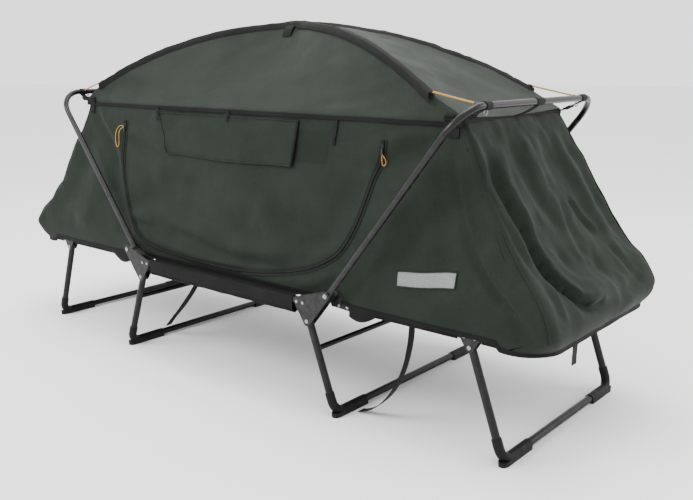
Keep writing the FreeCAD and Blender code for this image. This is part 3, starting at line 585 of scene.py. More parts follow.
def front_mesh():
    pts, edges = [], []

    def line(p, closed=False):
        i0 = len(pts)
        pts.extend([tuple(q) for q in p])
        edges.extend([(i0 + i, i0 + i + 1) for i in range(len(p) - 1)])
        if closed:
            edges.append((i0 + len(p) - 1, i0))

    L = lambda z: 0.995 + (0.798 - 0.995) * (z - Z0) / (Z1 - Z0)
    loop = [(x, Z0) for x in bottom_x] + [(L(z), z) for z in zs[1:-1]] + [(x, Z1) for x in top_x[::-1]] + [(-L(z), z) for z in zs[-2:0:-1]]
    line(loop, True)
    keepout = [np.array(loop)]
    dl = [tuple(p) for p in door_line]
    top_door = [tuple(p) for p in resample([(0.575, 0.798), (-0.575, 0.798)], step)][1:-1]
    line(dl + top_door, True)
    keepout.append(np.array(dl + top_door))
    win = resample([WINDOW[0], WINDOW[1], WINDOW[2], WINDOW[3]], step)
    for a, b in ((0, 1), (1, 2), (2, 3)):
        seg = resample([WINDOW[a], WINDOW[b]], step)
        line([tuple(p) for p in seg])
        keepout.append(seg)
    for s in (-1, 1):
        seg = resample([(s * HX, Z0 + 1e-6), (s * HX, Z1 - 1e-6)], step)
        line([tuple(p) for p in seg])
        keepout.append(seg)
    K = np.vstack(keepout)
    gx, gz = np.meshgrid(np.arange(-0.99, 0.99, step), zs[1:-1])
    gx = gx + (np.arange(len(zs) - 2) % 2)[:, None] * step / 2
    G = np.stack([gx.ravel(), gz.ravel()], 1)
    G = G[np.abs(G[:, 0]) < 0.995 + (0.798 - 0.995) * (G[:, 1] - Z0) / (Z1 - Z0) - 0.006]
    keepers = []
    cell = {}
    for p in K:
        cell.setdefault((int(p[0] // 0.01), int(p[1] // 0.01)), []).append(p)
    for g in G:
        ci, cj = int(g[0] // 0.01), int(g[1] // 0.01)
        near = any((g[0] - p[0]) ** 2 + (g[1] - p[1]) ** 2 < 0.0052 ** 2 for i in (-1, 0, 1) for j in (-1, 0, 1) for p in cell.get((ci + i, cj + j), ()))
        if not near:
            keepers.append(tuple(g))
    pts.extend(keepers)
    vo, _, fo, _, _, _ = delaunay_2d_cdt([Vector(p) for p in pts], edges, [], 0, 1e-6)
    V2 = np.array([(v.x, v.y) for v in vo])
    return V2, [tuple(f) for f in fo]


def inside(poly, P):
    poly, P = np.asarray(poly, float), np.asarray(P, float)
    x, y = P[:, 0], P[:, 1]
    c = np.zeros(len(P), bool)
    j = len(poly) - 1
    for i in range(len(poly)):
        xi, yi, xj, yj = *poly[i], *poly[j]
        if yi != yj:
            c ^= ((yi > y) != (yj > y)) & (x < (xj - xi) * (y - yi) / (yj - yi) + xi)
        j = i
    return c


V2, F2 = front_mesh()
cen = np.array([V2[list(f)].mean(0) for f in F2])
area2 = np.array([np.cross(V2[f[1]] - V2[f[0]], V2[f[2]] - V2[f[0]]) for f in F2])
F2 = [f if a > 0 else f[::-1] for f, a, in zip(F2, area2)]
good = np.abs(area2) > 1e-9
in_door = inside(list(door_line), cen)
in_win = inside(WINDOW, cen) & in_door
label2 = np.where(in_win, "mesh", np.where(in_door, "door", np.where(np.abs(cen[:, 0]) < HX, "wall", np.where(cen[:, 0] > 0, "right", "left"))))

body_P, body_F, body_L, body_UV = [], [], [], []


def add_part(P, F, labels, uv):
    n = sum(len(p) for p in body_P)
    body_P.append(np.asarray(P, float))
    body_UV.append(np.asarray(uv, float))
    body_F.extend([tuple(i + n for i in f) for f in F])
    body_L.extend(labels)


def quarter(sx):
    """The hem strip below one hood's front, and its near corner and end wall, with the front's outer edge first."""
    L0 = 0.995
    xs = [x for x in bottom_x if x * sx >= HX + 0.0199]
    xs = sorted(xs, key=abs)
    rows = 7
    P, uv = [], []
    for x in xs:
        for j in range(rows):
            z = Z0 + (hem_z(abs(x)) - Z0) * j / (rows - 1)
            P.append(front_point(x, z) if j else front_point(x, Z0))
            uv.append((x, z))
    F = grid_faces(len(xs), rows)
    if sx > 0:
        F = [f[::-1] for f in F]
    add_part(P, F, ["f_right" if sx > 0 else "f_left"] * len(F), uv)
    # corner and end wall from the front to the back
    levels = list(zs)
    low = [Z0 + (0.310 - Z0) * j / (rows - 1) for j in range(1, rows)]
    zz = low[::-1] + levels
    na, ne = 11, 54
    cols = []
    for z in zz:
        X, W, r = profile(z, np.float64(sx))
        Mh = W - r
        arc = [(X - r + r * math.sin(a), -(W - r) - r * math.cos(a)) for a in np.linspace(0, math.pi / 2, na)]
        end = [(X, y) for y in np.linspace(-Mh, Mh, ne)][1:-1]
        arc2 = [(x, -y) for x, y in arc[::-1]]
        line = arc + end + arc2
        cols.append([(sx * x, y, z) for x, y in line])
    G = np.array(cols)                      # level, along, xyz
    s = np.concatenate([np.zeros((len(zz), 1)), np.cumsum(np.linalg.norm(np.diff(G, axis=1), axis=2), axis=1)], 1)
    P = G.reshape(-1, 3)
    uv = np.stack([1.0 + s.ravel(), np.repeat(zz, G.shape[1])], 1)
    F = grid_faces(G.shape[0], G.shape[1])
    if sx > 0:
        F = [f[::-1] for f in F]
    add_part(P, F, ["right" if sx > 0 else "left"] * len(F), uv)


P3 = front_point(V2[:, 0], V2[:, 1])
faces = [f for f, g in zip(F2, good) if g]
labs = [l for l, g in zip(label2, good) if g]
add_part(P3, faces, ["f_" + l for l in labs], V2)
# the far side is the same turned half a turn, with its own ends
Pb = front_point(V2[:, 0], V2[:, 1])
mirror_x = front_point(-V2[:, 0], V2[:, 1])
Pb = np.stack([mirror_x[:, 0], -mirror_x[:, 1], mirror_x[:, 2]], 1)
add_part(Pb, faces, ["b_" + l for l in labs], V2)
for sx in (1, -1):
    quarter(sx)
# hem strips on the far side
for sx in (1, -1):
    xs = sorted([x for x in bottom_x if x * sx >= HX + 0.0199], key=abs)
    P, uv = [], []
    for x in xs:
        for j in range(7):
            z = Z0 + (hem_z(abs(x)) - Z0) * j / 6
            p = front_point(x, z if j else Z0)
            P.append((p[0], -p[1], p[2]))
            uv.append((x, z))
    F = grid_faces(len(xs), 7)
    if sx < 0:
        F = [f[::-1] for f in F]
    add_part(P, F, ["b_left" if sx > 0 else "b_right"] * len(F), uv)

BP, BUV = np.vstack(body_P), np.vstack(body_UV)
# weld the parts, so that the surface and its normals run through
kd = KDTree(len(BP))
for i, p in enumerate(BP):
    kd.insert(p, i)
kd.balance()
same = np.array([min(j for _, j, _ in kd.find_range(Vector(p), 1e-4)) for p in BP])
first, inv = np.unique(same, return_inverse=True)
WP = BP[first]
WF = [tuple(int(inv[i]) for i in f) for f in body_F]
print("body", len(BP), "welded", len(WP), "faces", len(WF))

# ---------------------------------------------------------------- folds and wrinkles, where the object shows them
FOLDS_FRONT = [
    # points (x, z) on the front, width, height, kind: v valley, r ridge, s a step with one side up
    ([(-0.575, 0.762), (-0.47, 0.736), (-0.362, 0.716), (-0.30, 0.680)], 0.017, 0.0065, "r"),
    ([(-0.575, 0.730), (-0.47, 0.700), (-0.37, 0.672), (-0.30, 0.655)], 0.026, 0.0060, "v"),
    ([(-0.535, 0.492), (-0.411, 0.527), (-0.22, 0.585)], 0.036, 0.0075, "v"),
    ([(-0.515, 0.474), (-0.45, 0.466), (-0.37, 0.455)], 0.016, 0.0060, "r"),
    ([(-0.500, 0.452), (-0.43, 0.440), (-0.36, 0.436)], 0.014, 0.0050, "v"),
    ([(-0.350, 0.436), (-0.212, 0.430), (-0.091, 0.402), (0.04, 0.388), (0.18, 0.393), (0.312, 0.392)], 0.019, 0.0090, "v"),
    ([(-0.34, 0.462), (-0.20, 0.462), (-0.06, 0.440), (0.08, 0.425), (0.22, 0.430), (0.33, 0.440)], 0.030, 0.0085, "r"),
    ([(-0.400, 0.400), (-0.250, 0.382), (-0.100, 0.368)], 0.012, 0.0050, "r"),
    ([(0.165, 0.615), (0.205, 0.552), (0.287, 0.515), (0.46, 0.525)], 0.034, 0.0085, "v"),
    ([(0.10, 0.600), (0.150, 0.520), (0.240, 0.470), (0.35, 0.452)], 0.030, 0.0055, "r"),
    ([(0.285, 0.480), (0.36, 0.482), (0.445, 0.505)], 0.018, 0.0050, "v"),
    ([(-0.05, 0.66), (-0.02, 0.56), (0.05, 0.47)], 0.060, 0.0060, "r"),
    ([(-0.20, 0.64), (-0.17, 0.55), (-0.10, 0.48)], 0.050, 0.0050, "v"),
    ([(0.36, 0.745), (0.44, 0.715), (0.535, 0.700)], 0.020, 0.0040, "v"),
    ([(0.736, 0.800), (0.643, 0.762), (0.581, 0.728), (0.530, 0.690)], 0.030, 0.0110, "v"),
    ([(0.756, 0.822), (0.656, 0.800), (0.575, 0.780)], 0.020, 0.0060, "r"),
    ([(0.760, 0.770), (0.70, 0.70), (0.640, 0.620), (0.60, 0.52)], 0.040, 0.0080, "r"),
    ([(0.785, 0.780), (0.80, 0.674), (0.835, 0.553), (0.885, 0.473), (0.929, 0.426), (0.972, 0.378), (1.010, 0.340)], 0.0135, 0.0105, "s"),
    ([(0.775, 0.760), (0.772, 0.640), (0.770, 0.52), (0.780, 0.40)], 0.030, 0.0080, "v"),
    ([(0.70, 0.66), (0.675, 0.54), (0.66, 0.42), (0.665, 0.345)], 0.040, 0.0070, "v"),
    ([(0.60, 0.50), (0.585, 0.42), (0.56, 0.35)], 0.020, 0.0050, "r"),
    ([(0.870, 0.560), (0.905, 0.49), (0.95, 0.42)], 0.020, 0.0060, "r"),
    ([(0.92, 0.40), (0.955, 0.365), (0.985, 0.330)], 0.010, 0.0050, "v"),
    ([(-0.775, 0.832), (-0.700, 0.765), (-0.620, 0.690), (-0.590, 0.60)], 0.022, 0.0090, "s"),
    ([(-0.650, 0.678), (-0.600, 0.560), (-0.545, 0.440), (-0.49, 0.370)], 0.030, 0.0070, "v"),
    ([(-0.77, 0.76), (-0.80, 0.62), (-0.85, 0.50), (-0.92, 0.40)], 0.040, 0.0080, "v"),
    ([(-0.70, 0.60), (-0.73, 0.48), (-0.76, 0.38)], 0.045, 0.0070, "r"),
    ([(-0.95, 0.40), (-1.00, 0.372), (-1.06, 0.360)], 0.016, 0.0050, "r"),
    ([(-0.52, 0.42), (-0.50, 0.39), (-0.44, 0.362)], 0.010, 0.0040, "v"),
    ([(0.30, 0.352), (0.386, 0.372), (0.452, 0.420)], 0.014, 0.0045, "r"),
    ([(-0.30, 0.345), (-0.10, 0.341), (0.15, 0.342)], 0.010, 0.0030, "v"),
]
FOLDS_END = [
    # points (x, y, z) on the right end
    ([(0.835, -0.212, 0.815), (0.889, -0.214, 0.715), (0.939, -0.210, 0.627), (0.975, -0.202, 0.565), (1.019, -0.190, 0.488), (1.060, -0.165, 0.432), (1.095, -0.115, 0.397), (1.110, 0.036, 0.378)], 0.021, 0.0200, "s"),
    ([(0.975, -0.165, 0.565), (1.020, -0.140, 0.488), (1.065, -0.100, 0.440), (1.095, 0.02, 0.410), (1.10, 0.12, 0.41)], 0.030, 0.0110, "r"),
    ([(0.981, -0.225, 0.558), (0.999, -0.230, 0.522), (1.030, -0.233, 0.480)], 0.011, 0.0090, "v"),
    ([(1.030, -0.222, 0.470), (1.080, -0.234, 0.425), (1.110, -0.246, 0.378)], 0.013, 0.0090, "r"),
    ([(1.010, -0.285, 0.500), (1.050, -0.295, 0.440), (1.085, -0.305, 0.375)], 0.012, 0.0080, "v"),
    ([(0.930, 0.060, 0.650), (0.981, 0.040, 0.554), (1.040, 0.017, 0.480)], 0.017, 0.0100, "v"),
    ([(0.935, 0.095, 0.640), (0.964, 0.118, 0.590), (1.010, 0.160, 0.520)], 0.014, 0.0080, "s"),
    ([(1.015, 0.183, 0.500), (1.060, 0.196, 0.450), (1.100, 0.195, 0.405)], 0.013, 0.0080, "v"),
    ([(0.837, -0.160, 0.800), (0.884, -0.175, 0.723), (0.935, -0.180, 0.635), (0.985, -0.150, 0.55)], 0.020, 0.0080, "r"),
    ([(0.830, -0.080, 0.820), (0.870, -0.085, 0.750), (0.930, -0.060, 0.650), (0.985, -0.02, 0.56)], 0.026, 0.0085, "v"),
    ([(0.830, -0.020, 0.820), (0.880, -0.020, 0.730), (0.950, 0.010, 0.610)], 0.024, 0.0060, "r"),
    ([(0.830, 0.060, 0.820), (0.880, 0.075, 0.730), (0.925, 0.085, 0.660)], 0.022, 0.0070, "v"),
    ([(0.830, 0.140, 0.820), (0.890, 0.165, 0.710), (0.950, 0.200, 0.610), (1.03, 0.240, 0.48)], 0.026, 0.0080, "r"),
    ([(0.830, 0.200, 0.820), (0.900, 0.225, 0.690), (0.985, 0.260, 0.550), (1.06, 0.280, 0.45)], 0.024, 0.0080, "v"),
    ([(1.095, 0.240, 0.410), (1.112, 0.150, 0.385), (1.118, 0.060, 0.372)], 0.018, 0.0060, "v"),
    ([(0.870, -0.262, 0.760), (0.925, -0.272, 0.650), (0.985, -0.270, 0.560), (1.04, -0.265, 0.47)], 0.018, 0.0085, "v"),
]


def apply_fold(P, Nv, D, pts, width, amp, kind, mask):
    pts = soften(pts, 2)
    idx = np.nonzero(mask)[0]
    lo, hi = pts.min(0) - 4 * width, pts.max(0) + 4 * width
    idx = idx[((P[idx] > lo) & (P[idx] < hi)).all(1)]
    if not len(idx):
        return
    Q = P[idx]
    best, tau, side = np.full(len(Q), 9.0), np.zeros(len(Q)), np.zeros(len(Q))
    total = np.linalg.norm(np.diff(pts, axis=0), axis=1)
    run = np.r_[0, np.cumsum(total)] / total.sum()
    for i in range(len(pts) - 1):
        a, b = pts[i], pts[i + 1]
        ab = b - a
        t = np.clip(((Q - a) @ ab) / (ab @ ab), 0, 1)
        near = a + t[:, None] * ab
        d = np.linalg.norm(Q - near, axis=1)
        s = np.sign((np.cross(ab, Q - near) * Nv[idx]).sum(1))
        m = d < best
        best[m], tau[m], side[m] = d[m], (run[i] + t * (run[i + 1] - run[i]))[m], s[m]
    taper = sm(tau, 0.0, 0.22) * (1 - sm(tau, 0.78, 1.0))
    u = best / width
    if kind == "v":
        h = -np.exp(-u * u) + 0.25 * np.exp(-((u - 1.9) ** 2) * 1.4)
    elif kind == "r":
        h = np.exp(-u * u) - 0.2 * np.exp(-((u - 1.9) ** 2) * 1.4)
    else:
        h = side * u * 1.6 * np.exp(-u * u * 0.9) - 0.35 * np.exp(-u * u * 4)
    D[idx] += amp * h * taper


def wrinkles(P, seed, scale, amount, octaves=3):
    out = np.empty(len(P))
    sc = 1.0 / np.asarray(scale, float)
    for i, p in enumerate(P):
        out[i] = noise.fractal(Vector(p * sc) + Vector((seed, seed * 1.7, 0)), 1.0, 2.0, octaves)
    return out * amount


WN = vertex_normals(WP, WF)
# outwards check
if (WN[:, :2] * WP[:, :2]).sum() < 0:
    raise SystemExit("the tent's faces point inwards")
is_front = WP[:, 1] < -0.20
is_back = WP[:, 1] > 0.20
X_here, W_here, R_here = profile(WP[:, 2], np.sign(WP[:, 0]))
endness = sm(np.abs(WP[:, 0]), X_here - R_here - 0.02, X_here - 0.002)      # 1 on the end walls
D = np.zeros(len(WP))
spinP = WP * np.array((-1, -1, 1.0))
spinN = WN * np.array((-1, -1, 1.0))
for pts, w, a, k in FOLDS_FRONT:
    q = [tuple(front_point(x, z)) for x, z in pts]
    apply_fold(WP, WN, D, q, w, a, k, WP[:, 1] < 0.05)
    apply_fold(spinP, spinN, D, q, w, a, k, WP[:, 1] > -0.05)
for pts, w, a, k in FOLDS_END:
    apply_fold(WP, WN, D, pts, w, a, k, WP[:, 0] > 0)
    apply_fold(spinP, spinN, D, pts, w, a, k, WP[:, 0] < 0)
# slack: broad soft swells, finer crumples, and upright gathers on the ends
tz = np.clip((WP[:, 2] - Z0) / (Z1 - Z0), 0, 1)
hold = sm(tz, 0.0, 0.10) * (1 - sm(tz, 0.93, 1.0))                 # still at the hems
front_hold = np.where(endness < 0.5, hold, sm(tz, -0.05, 0.25) * (1 - sm(tz, 0.95, 1.0)))
D += wrinkles(WP, 3.1, (0.26, 0.26, 0.20), 0.0060) * front_hold
D += wrinkles(WP, 11.0, (0.085, 0.085, 0.07), 0.0016) * front_hold
hoodness = sm(np.abs(WP[:, 0]), 0.60, 0.80)
D += wrinkles(WP, 21.0, (0.075, 0.075, 0.42), 0.0085) * front_hold * (0.25 * hoodness + 0.75 * endness)
D += -0.010 * endness * np.sin(math.pi * np.clip(tz * 1.1, 0, 1)) * (1 - sm(np.abs(WP[:, 1]) / W_here, 0.5, 1.0))
WPd = WP + WN * D[:, None]
WNd = vertex_normals(WPd, WF)
BODY = BVHTree.FromPolygons([tuple(p) for p in WPd], WF)


def wall_at(x, z, off=0.0, back=False):
    """A point off metres outside the front wall at (x, z), and the wall's normal; back gives the far side's."""
    s = 1.0 if back else -1.0
    xx = -x if back else x
    hit, nor, _, _ = BODY.ray_cast(Vector((xx, s * 1.0, z)), Vector((0, -s, 0)))
    if hit is None:
        hit, nor, _, _ = BODY.find_nearest(Vector((xx, s * 0.3, z)))
    if nor.y * s < 0:
        nor = -nor
    return np.array(hit + nor * off), np.array(nor)


def end_at(y, z, off=0.0, side=1):
    hit, nor, _, _ = BODY.ray_cast(Vector((side * 2.0, y, z)), Vector((-side, 0, 0)))
    if hit is None:
        hit, nor, _, _ = BODY.find_nearest(Vector((side * 1.0, y, z)))
    if nor.x * side < 0:
        nor = -nor
    return np.array(hit + nor * off), np.array(nor)


def body_piece(name, wanted, body, material, thick=0.0011):
    sel = [k for k, l in enumerate(body_L) if l in wanted]
    F = [body_F[k] for k in sel]
    return shell(name, WPd[inv], F, WNd[inv], thick, material, body, BUV)


TF = M["tent_fabric"]
cloth = {}
for side, tag, spin_tag in (("front", "f_", ""), ("back", "b_", "")):
    cloth[side + "_wall"] = body_piece(side + "_tent_wall", {tag + "wall"}, "centre_frame", TF)
    cloth[side + "_door"] = body_piece(side + "_door_panel", {tag + "door"}, "door_" + side, TF)
    cloth[side + "_mesh"] = body_piece(side + "_window_net", {tag + "mesh"}, "door_" + side, M["window_mesh"], 0.0006)
cloth["right_hood"] = body_piece("right_tent_hood", {"f_right", "b_left", "right"}, "right_end", TF)
cloth["left_hood"] = body_piece("left_tent_hood", {"f_left", "b_right", "left"}, "left_end", TF)
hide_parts("front_wall")
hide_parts("back_wall")
for s in ("front", "back"):
    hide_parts(s + "_door")
    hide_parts(s + "_window_mesh")
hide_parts("right_tent_end")
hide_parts("left_tent_end")


# ================================================================ fly (roof)
APEX, FX, FY, FZ = 1.105, 0.700, 0.268, 0.918
HALF = math.hypot(FX, FY)
RISE = APEX - FZ
RAD = (HALF ** 2 + RISE ** 2) / (2 * RISE)
KY = FY / FX


def arc_z(x):
    d = np.abs(x) / FX * HALF
    return APEX - RAD + np.sqrt(RAD ** 2 - d ** 2)


def section(x):
    """Hem, pole, pole, hem across the fly at x, as (y, z)."""
    ax = abs(x)
    if ax <= FX:
        py, pz, hy = max(FY * ax / FX, 0.014), float(arc_z(ax)), 0.2655
    else:
        k = (ax - FX) / (0.814 - FX)
        py, pz, hy = FY - 0.005 * k, FZ - (FZ - 0.8565) * k, 0.2655
    return [(-hy, 0.8505), (-py, pz), (py, pz), (hy, 0.8505)], py, pz, hy


def section_point(x, a):
    """The point at arc length a along the section, a = 0 at the front pole; negative is towards the front hem."""
    (h0, p0, p1, h1), py, pz, hy = section(x)
    inner = 2 * py
    if a < 0:
        d = np.array([h0[0] - p0[0], h0[1] - p0[1]])
        q = np.array(p0) + d / np.linalg.norm(d) * (-a)
    elif a <= inner:
        q = np.array([-py + a, pz])
    else:
        d = np.array([h1[0] - p1[0], h1[1] - p1[1]])
        q = np.array(p1) + d / np.linalg.norm(d) * (a - inner)
    return np.array([x, q[0], q[1]])


fly_x = np.unique(np.round(np.r_[-0.814, -0.8, -0.785, -0.765, -0.745, -0.722, -np.linspace(0.70, HX, 26), np.linspace(-HX, HX, 94), np.linspace(HX, 0.70, 26), 0.722, 0.745, 0.765, 0.785, 0.8, 0.814], 6))
NSIDE, NIN = 22, 18
FP, FUV, FROW = [], [], []
for x in fly_x:
    (h0, p0, p1, h1), py, pz, hy = section(x)
    side_len = math.hypot(h0[0] - p0[0], h0[1] - p0[1])
    ax = abs(x)
    col = []
    # hem flange down over the wall
    for dz in (0.013, 0.0065):
        col.append((-hy - 0.0006, 0.8505 - dz))
    for k in range(NSIDE):
        t = k / NSIDE
        y, z = h0[0] + (p0[0] - h0[0]) * t, h0[1] + (p0[1] - h0[1]) * t
        sag = -0.010 * math.sin(math.pi * t) * min(1.0, side_len / 0.16)
        # a taut panel between a straight hem and an arched pole curves inwards
        n = np.array([-(p0[1] - h0[1]), (p0[0] - h0[0])]) / max(side_len, 1e-6)
        col.append((y + n[0] * sag, z + n[1] * sag))
    for k in range(NIN + 1):
        t = k / NIN
        y = -py + 2 * py * t
        sag = -0.016 * math.sin(math.pi * t) * float(sm(ax, 0.06, 0.55)) * (1 - 0.6 * float(sm(ax, 0.70, 0.81)))
        col.append((y, pz + sag))
    half = col[:2 + NSIDE]
    col += [(-y, z) for y, z in half[::-1]]
    s = 0.0
    last = None
    for j, (y, z) in enumerate(col):
        if last is not None:
            s += math.hypot(y - last[0], z - last[1])
        last = (y, z)
        FP.append((x, y, z))
        FUV.append((x, s))
NV = 2 * (2 + NSIDE) + NIN + 1
FP, FUV = np.array(FP), np.array(FUV)
FF = [f[::-1] for f in grid_faces(len(fly_x), NV)]
FN = vertex_normals(FP, FF)
if (FN[:, 2]).sum() < 0:
    FF = [f[::-1] for f in FF]
    FN = -FN
FD = np.zeros(len(FP))
calm = np.ones(len(FP))
row = np.arange(len(FP)) % NV
calm[(row < 3) | (row > NV - 4)] = 0.15
ends_calm = 1 - sm(np.abs(FP[:, 0]), 0.79, 0.814)
FD += wrinkles(FP, 5.0, (0.30, 0.16, 0.16), 0.0050) * calm * ends_calm
FD += wrinkles(FP, 9.0, (0.09, 0.07, 0.07), 0.0011) * calm * ends_calm
FOLDS_FLY = [
    # (x, share of the way from hem to pole), width, height, kind
    ([(0.000, 0.90), (0.000, 0.74), (0.012, 0.60), (0.022, 0.48)], 0.010, 0.0042, "v"),
    ([(0.020, 0.88), (0.045, 0.76), (0.075, 0.62), (0.090, 0.50)], 0.013, 0.0040, "v"),
    ([(-0.02, 0.92), (-0.09, 0.78), (-0.17, 0.62), (-0.25, 0.46)], 0.022, 0.0040, "v"),
    ([(0.05, 0.95), (0.16, 0.80), (0.26, 0.60), (0.33, 0.45)], 0.024, 0.0040, "r"),
    ([(-0.30, 0.16), (-0.10, 0.22), (0.12, 0.20), (0.32, 0.14)], 0.030, 0.0030, "r"),
    ([(0.60, 0.55), (0.52, 0.35), (0.42, 0.18), (0.30, 0.08)], 0.018, 0.0040, "v"),
    ([(0.66, 0.75), (0.69, 0.40), (0.72, 0.05)], 0.010, 0.0040, "v"),
    ([(-0.66, 0.65), (-0.55, 0.40), (-0.44, 0.22), (-0.30, 0.12)], 0.020, 0.0040, "v"),
    ([(-0.62, 0.80), (-0.50, 0.62), (-0.36, 0.50)], 0.026, 0.0035, "r"),
]


def fly_side(x, t):
    (h0, p0, p1, h1), *_ = section(x)
    return (x, h0[0] + (p0[0] - h0[0]) * t, h0[1] + (p0[1] - h0[1]) * t)


spinF, spinFN = FP * np.array((-1, -1, 1.0)), FN * np.array((-1, -1, 1.0))
for pts, w, a, k in FOLDS_FLY:
    q = [fly_side(x, t) for x, t in pts]
    apply_fold(FP, FN, FD, q, w, a, k, FP[:, 1] < 0)
    apply_fold(spinF, spinFN, FD, q, w, a, k, FP[:, 1] > 0)
FPd = FP + FN * (FD * ends_calm)[:, None]
FNd = vertex_normals(FPd, FF)
FLYB = BVHTree.FromPolygons([tuple(p) for p in FPd], FF)
fcx = np.array([FP[list(f)].mean(0)[0] for f in FF])
fly = {}
for name, m, body, node in (("centre_roof", np.abs(fcx) < HX, "canopy", "centre_fly"), ("right_roof", fcx > HX, "right_end", "right_fly_end"), ("left_roof", fcx < -HX, "left_end", "left_fly_end")):
    F = [f for f, k in zip(FF, m) if k]
    o = shell(name, FPd, F, FNd, 0.0010, M["roof_fabric"], body, FUV)
    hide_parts(node)
    fly[name] = o


def on_fly(p, off):
    """The fly's outer face nearest to p, off metres out."""
    hit, nor, _, _ = FLYB.find_nearest(Vector(p))
    if nor.z < 0 and abs(nor.z) > 0.3:
        nor = -nor
    return np.array(hit + nor * off), np.array(nor)


# ---------------------------------------------------------------- pole sleeves: bands of darker cloth sewn along the two crossing hoops
def sleeve(xs, sgn, width=0.036, lift=0.0022, crown=0.0062, cols=9):
    """A band over the hoop that runs to y = sgn * KY * x."""
    P, uv = [], []
    lengths = np.r_[0, np.cumsum(np.hypot(np.diff(xs), np.diff([float(arc_z(min(abs(x), FX))) for x in xs])) * math.hypot(1, KY))]
    for x, s in zip(xs, lengths):
        xx = float(np.clip(x, -FX, FX))
        (h0, p0, p1, h1), py, pz, hy = section(xx)
        yc = sgn * KY * xx
        ac = yc + py
        for u in np.linspace(-1, 1, cols):
            q = section_point(xx, ac + u * width / 2 * 1.06)
            hit, nor, _, _ = FLYB.find_nearest(Vector(q))
            n = np.array(nor)
            if n @ np.array((0, np.sign(q[1]) * 0.5, 1.0)) < 0:
                n = -n
            p = np.array(hit) + n * (lift + (0.0007 if abs(u) < 0.99 else -0.0012))
            centre_n = np.array((0, (0.35 if yc > 0 else -0.35) * min(1, abs(yc) / 0.05), 1.0))
            centre_n /= np.linalg.norm(centre_n)
            p = p + centre_n * crown * (1 - u * u)
            if abs(x) > FX:
                d = np.array((np.sign(x), np.sign(x) * sgn * KY, -0.55))
                p = p + d / np.linalg.norm(d) * (abs(x) - FX) * 1.15
            P.append(p)
            uv.append((s, u * width / 2))
    P, uv = np.array(P), np.array(uv)
    n = len(xs)
    # slight puckers along the seams
    j = np.arange(len(P)) % cols
    puck = np.array([noise.noise(Vector((s[0] * 34, k * 1.7, sgn * 3 + 9))) for s, k in zip(uv, j)])
    P[:, 2] += 0.0014 * puck
    F = grid_faces(n, cols)
    Nn = vertex_normals(P, F)
    if Nn[:, 2].sum() < 0:
        F = [f[::-1] for f in F]
        Nn = -Nn
    return P, F, Nn, uv


sleeve_x = np.unique(np.round(np.r_[-0.722, -0.712, -np.linspace(0.70, HX, 26), np.linspace(-HX, HX, 90), np.linspace(HX, 0.70, 26), 0.712, 0.722], 6))
for tag, sgn, lift in (("a", 1, 0.0012), ("b", -1, 0.0046)):
    P, F, Nn, uv = sleeve(list(sleeve_x), sgn, lift=lift)
    cx = np.array([P[list(f)].mean(0)[0] for f in F])
    for name, m, body in (("centre", np.abs(cx) < HX + 0.004, "canopy"), ("right", cx > HX + 0.004, "right_end"), ("left", cx < -HX - 0.004, "left_end")):
        col = np.array([sleeve_x[min(f) // 9] for f in F])
        mid = np.array([(sleeve_x[min(f) // 9] + sleeve_x[min(min(f) // 9 + 1, len(sleeve_x) - 1)]) / 2 for f in F])
        sel = np.abs(mid) < HX if name == "centre" else (mid > HX if name == "right" else mid < -HX)
        o = shell("%s_pole_sleeve_%s" % (name, tag), P, [f for f, k in zip(F, sel) if k], Nn, 0.0012, M["sleeve_fabric"], body, uv)
        cloth["%s_sleeve_%s" % (name, tag)] = o


# ================================================================ trims that follow the cloth
def follow(points, surface, off):
    """Each (x, z) point of a line on the front wall as a 3-D point and normal."""
    out = [surface(x, z, off) for x, z in points]
    return np.array([p for p, _ in out]), np.array([n for _, n in out])


def tape_on(points, width, thick, off, back=False, crown=0.0, cols=5, end=None):
    """A flat tape laid on a wall along (x, z) points, or (y, z) points of an end wall."""
    surf = (lambda a, b, o: end_at(a, b, o, end)) if end else (lambda a, b, o: wall_at(a, b, o, back))
    path, nor = follow(points, surf, off + thick / 2)
    tang = np.gradient(path, axis=0)
    across = np.cross(nor, tang)
    P, F, U = ribbon(path, across, width, thick, 0.0, cols)
    return P, F, U


def piping_on(points, radius, off, back=False, ring=8):
    path, nor = follow(points, lambda a, b, o: wall_at(a, b, o, back), off)
    return tube(path, radius, ring)


def orient(P, F):
    """Faces turned to point outwards for a closed piece, by its volume."""
    v = 0.0
    for f in F:
        for i in range(1, len(f) - 1):
            v += np.dot(P[f[0]], np.cross(P[f[i]], P[f[i + 1]]))
    return F if v > 0 else [f[::-1] for f in F]


def piece(name, parts, material, body, slot=None, *hides):
    fixed = [(p, orient(np.asarray(p), f), u) for p, f, u in parts]
    P, F, U = merged(fixed)
    o = make(name, P, F, material, body, U, None)
    me = o.data
    me.set_sharp_from_angle(angle=math.radians(48))
    if hides:
        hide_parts(*hides)
    return o


soft = []        # (piece, anchor z) pairs; flatten() below gives each piece its own mesh
